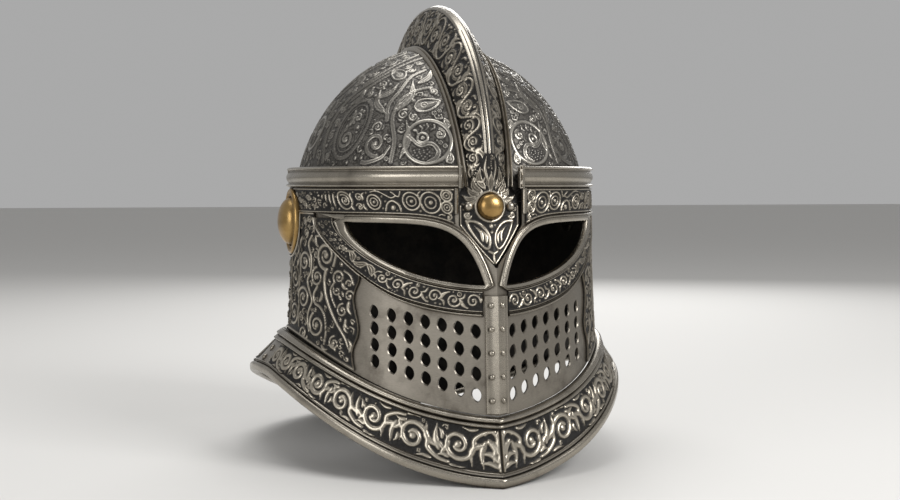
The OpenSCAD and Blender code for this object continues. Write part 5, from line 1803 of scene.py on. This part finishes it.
def rolled_edge(u, back):
    """Rings of the rolled edge along the gorget's rim."""
    middle, away = gorget(u, 1, -back - PLATE / 2), gorget(u, 1, 1) - gorget(u, 1, 0)
    height = roll_z(wrap(u))[:, None]
    rings = []
    for a in line(0, 360, 25)[:-1]:
        p = middle + away * squared(cos(a))
        p[:, 2:] = height + squared(sin(a))
        rings.append(p)
    return np.stack(rings, 1)


def flare(back):
    """The carved part of the gorget, from above the bead line to the collar's mouldings."""
    return lambda u, s, off: gorget(u, mix(0.915, gorget_down(u, 7.8), s), off - back)


def make_gorget_trims(half, ends, back):
    u = line(*ends, GORGET_COLS)
    rings = swept(lambda u, d, off: gorget(u, gorget_down(u, d), off - back), u, COLLAR)
    trim("collar_" + half + "_moulding", rings, POLISHED, "helmet", "polished_steel", "collar_" + half)
    rings = rolled_edge(u, back)
    trim("rolled_edge_" + half, rings, POLISHED, "helmet", "polished_steel", "edge_" + half)
    rings = swept(lambda u, t, off: gorget(u, t, off - back), u, BEAD_LINE)
    trim("bead_line_" + half, rings, POLISHED, "helmet", "polished_steel")


def make_gorget_carvings():
    front = Strip(flare(0), 0.12, 86)
    cut = front.carving(281, 49)
    by_keel = 9
    spots = front.waves(1.22) * (1 - by_keel / front.length) + by_keel
    cut.draw(acanthus(spots, front.height, 1.9), front.lay)
    cut.draw([plump(0.7, -11, 13, -9, 1.8, 0.12), plump(0.7, -7.5, 12.5, -3, 2.3, 0.2),
              plump(0.7, -2.5, 9.4, 5, 2.4, 0.25), plump(0.7, 3.5, 6, 12, 2.2, 0.25),
              curve([(0.5, -12.4), (0.5, 0), (0.5, 12)], 1.3, 0.8), bead(9.4, 10, 1.7)], front.lay)
    cut.fill_flat((3.0, 1.9, 1.2), 520)
    carved_pair("gorget_carving", front.surface, cut, GORGET_CUT, FRIEZE_STEEL, "helmet", "gorget_frieze")
    rear = Strip(flare(LAP_OFF), 100, 260)
    cut = rear.carving(381, 49)
    cut.draw(acanthus(rear.waves(1.22), rear.height, 1.9), rear.lay)
    cut.fill_flat((3.2, 2.0, 1.2), 520)
    carved_panel("gorget_carving_rear", rear.surface, cut, GORGET_CUT, FRIEZE_STEEL, "helmet",
                 ["gorget_frieze_rear"])


def make_gorget():
    for half, ends, back in GORGET_PLATES:
        u = line(*ends, GORGET_COLS)[:, None]
        plate = laid_grid(gorget(u, line(1, 0, 31)[None], -back))
        smooth(walled(plate, POLISHED))
        node = "gorget_" + half
        finished(plate, node + "_plate", None, "helmet", "polished_steel", node)
    for half, ends, back in GORGET_TRIMS:
        make_gorget_trims(half, ends, back)
    make_gorget_carvings()
    rivet = turned([(2.7, -0.8), (2.7, 0)] + dome_of(2.4, 1.5, 0.1, 1.45, 7), 28)
    spots = []
    for sign in (-1, 1):
        u = sign * (LAP + LAP_END) / 2
        for t in (0.56, 0.84):
            along = gorget(u + 1, t, 0) - gorget(u - 1, t, 0)
            up = gorget(u, t - 0.02, 0) - gorget(u, t + 0.02, 0)
            spots.append((gorget(u, t, 0.4), unit(np.cross(along, up))))
    finished(copies(rivet, spots), "gorget_lap_rivets", POLISHED, "helmet", "polished_steel", "gorget_rivets")


# Lining: the band's section as elevations and depths, the cap's cloth, its lower and upper end and its rows
BAND_SECTION = ((17, 2.4), (17, 4.2), (17.6, 4.5), (18.4, 4.3), (24.6, 4.3), (25.4, 4.5), (26, 4.2),
                (26, 2.4))
CLOTH = dict(quality=6, mass=0.01, tension_stiffness=1.5, compression_stiffness=0.5, shear_stiffness=0.5,
             bending_stiffness=0.02, shrink_min=-0.15, use_pressure=True, uniform_pressure_force=CAP_PRESSURE)
CAP_LOW, CAP_HIGH, CAP_ROWS = 27.5, 84, 17


def points_of(obj):
    """Points of a piece, in millimetres."""
    spots = np.empty(len(obj.data.vertices) * 3)
    obj.data.vertices.foreach_get("co", spots)
    return spots.reshape(-1, 3) / MM


def lining_place(p):
    """Bearing and rise of points inside the skull, and their depth below its outer form."""
    x, y, z = p[:, 0], p[:, 1] - PIVOT_Y, p[:, 2] - PIVOT_Z
    reach = np.where(y > 0, SKULL_BACK, CROWN)
    x, y, z = x / SKULL_W, -y / reach, z / CROWN
    size = np.sqrt(x * x + y * y + z * z)
    return np.degrees(np.arctan2(x, y)), np.degrees(np.arcsin(z / size)), (1 - size) * CROWN


def off_seam(bearing):
    """How far a bearing lies from the nearest seam, from 0 to 1."""
    return np.abs(sin(GORES / 2 * bearing))


def level_ring(u, e, off):
    """A ring of skull points at one elevation."""
    return skull(wrap(u), e, off)


def puffed(pad, held, limit):
    """Swells a closed pad by cloth pressure between its held points, each within a limit of its start."""
    start = points_of(pad)
    group = pad.vertex_groups.new(name="sewn")
    group.add(np.flatnonzero(held).tolist(), 1.0, "REPLACE")
    only(pad)
    cloth = pad.modifiers.new("puff", "CLOTH")
    for key, value in CLOTH.items():
        setattr(cloth.settings, key, value)
    cloth.settings.vertex_group_mass = group.name
    cloth.settings.effector_weights.gravity = 0
    cloth.point_cache.frame_start, cloth.point_cache.frame_end = 1, CLOTH_FRAMES
    for frame_number in range(1, CLOTH_FRAMES + 1):
        bpy.context.scene.frame_set(frame_number)
    bpy.ops.object.modifier_apply(modifier=cloth.name)
    bpy.context.scene.frame_set(1)
    pad.vertex_groups.clear()
    move = points_of(pad) - start
    far = np.linalg.norm(move, axis=1, keepdims=True)
    move = move * np.minimum(1, limit / np.maximum(far, 1e-6))
    pad.data.vertices.foreach_set("co", ((start + move) * MM).ravel())
    pad.data.update()


def make_band_and_studs():
    u = line(0, 360, 145)[:-1]
    rings = np.stack([level_ring(u, e, -off) for e, off in BAND_SECTION], 1)
    trim("lining_leather_band", rings, LEATHER, "helmet", "leather", "lining_band", loop=True)
    stud = turned([(3.2, -0.6), (3.2, 0)] + dome_of(2.9, 1.5, 0.1, 1.45, 7), 28)
    spots = []
    for k in range(STUDS):
        a = (k + 0.5) * 360 / STUDS - 180
        reach = SKULL_BACK if abs(a) > 90 else CROWN
        out = skull_unit(a, STUD_RISE) / np.array([SKULL_W, reach, CROWN])
        spots.append((skull(a, STUD_RISE, -4.9), -unit(out)))
    finished(copies(stud, spots), "lining_studs", POLISHED, "helmet", "polished_steel", "lining_rivets")


def make_cap():
    u = line(0, 360, 12 * GORES + 1)[:-1]
    rises = line(CAP_LOW, CAP_HIGH, CAP_ROWS)
    fill = np.clip(np.sin(np.pi * line(0.03, 0.97, CAP_ROWS)) ** 0.5, 0.3, 1)
    thick = 3.2 + 3.6 * off_seam(u) ** 0.8
    rings = [level_ring(u, e, -CAP_BACK) for e in rises]
    rings += [level_ring(u, e, -CAP_BACK - thick * share) for e, share in zip(rises[::-1], fill[::-1])]
    cap = skinned(np.stack(rings, 1), loop=True)
    bearing, rise, depth = lining_place(points_of(cap))
    at_ends = (rise < CAP_LOW + 1.5) | (rise > CAP_HIGH - 2)
    puffed(cap, (off_seam(bearing) < 0.1) | (depth < CAP_BACK + 0.6) | at_ends, CAP_SWELL)
    modify(cap, "SUBSURF", levels=1, render_levels=1)
    finished(cap, "lining_quilted_cap", LINEN, "helmet", "quilt", "lining_cap")
    layer = cap.data.attributes.new("seam", "FLOAT", "POINT")
    bearing, _, _ = lining_place(points_of(cap))
    layer.data.foreach_set("value", np.clip(1 - off_seam(bearing) * 9, 0, 1).astype(np.float32))


# Camera, light and floor, with places in metres
# The camera is fitted to the photograph: its width, focal length and shifts are in the photograph's pixels
PHOTO_W, FOCAL, SENSOR = 900, 1364.0, 36
VIEW_AZIMUTH, SHIFT_X, SHIFT_Y, CAMERA_Z, CAMERA_FAR = 15, 11.7, 67, 0.192, 1
# Lamps: name, place, size and power
LAMPS = (("key", (0.75, -1.1, 0.95), 0.7, 17), ("fill", (-1.3, -0.8, 0.6), 0.9, 7),
         ("top", (-0.1, 0.25, 1.5), 0.9, 9), ("back", (0.6, 1.3, 0.8), 0.8, 9))


def staged(name, data, place, look):
    """Puts a camera or a lamp at a place, facing along look."""
    obj = bpy.data.objects.new(name, data)
    obj.location = place
    obj.rotation_euler = look.to_track_quat("-Z", "Y").to_euler()
    bpy.context.scene.collection.objects.link(obj)
    return obj


def make_camera():
    azimuth = math.radians(VIEW_AZIMUTH)
    ahead = Vector((math.sin(azimuth), math.cos(azimuth), 0))
    right = Vector((math.cos(azimuth), -math.sin(azimuth), 0))
    yaw, pitch = math.atan(SHIFT_X / FOCAL), -math.atan(SHIFT_Y / FOCAL)
    look = ahead * math.cos(yaw) + right * math.sin(yaw)
    look = look * math.cos(pitch) + Vector((0, 0, 1)) * math.sin(pitch)
    lens = bpy.data.cameras.new("camera")
    lens.sensor_width, lens.lens = SENSOR, SENSOR * FOCAL / PHOTO_W
    place = Vector((0, PIVOT_Y * MM, CAMERA_Z)) - ahead * CAMERA_FAR
    bpy.context.scene.camera = staged("camera", lens, place, look)


def make_stage():
    deselect()
    bpy.ops.mesh.primitive_plane_add(size=14, location=(0, 3, 0))
    floor = bpy.context.object
    floor.name = "floor"
    pale = Finish("pale_floor")
    pale.set(Base_Color=(0.62, 0.61, 0.59), Roughness=0.85)
    floor.data.materials.append(pale.material)
    make_camera()
    target = Vector((0, 0, 0.17))
    for name, spot, size, power in LAMPS:
        lamp = bpy.data.lights.new(name, "AREA")
        lamp.energy, lamp.size = power, size
        staged(name, lamp, spot, target - Vector(spot))
    world = bpy.data.worlds.new("pale_room")
    world.use_nodes = True
    sky = world.node_tree.nodes["Background"].inputs
    sky["Color"].default_value = (0.5, 0.5, 0.5, 1)
    sky["Strength"].default_value = 0.8
    bpy.context.scene.world = world
    bpy.context.scene.view_settings.view_transform = "Standard"


make_stage()
make_dome()
make_skull()
make_nape()
make_comb()
make_bands()
make_brow()
make_visor()
make_eyes()
make_friezes()
make_cheeks()
make_keel()
make_pivots()
make_gorget()
make_band_and_studs()
make_cap()
for side, _ in SIDES:
    bolt = bpy.data.objects["pivot_bolt_" + side].data
    bolt.materials.clear()
    bolt.materials.append(POLISHED)
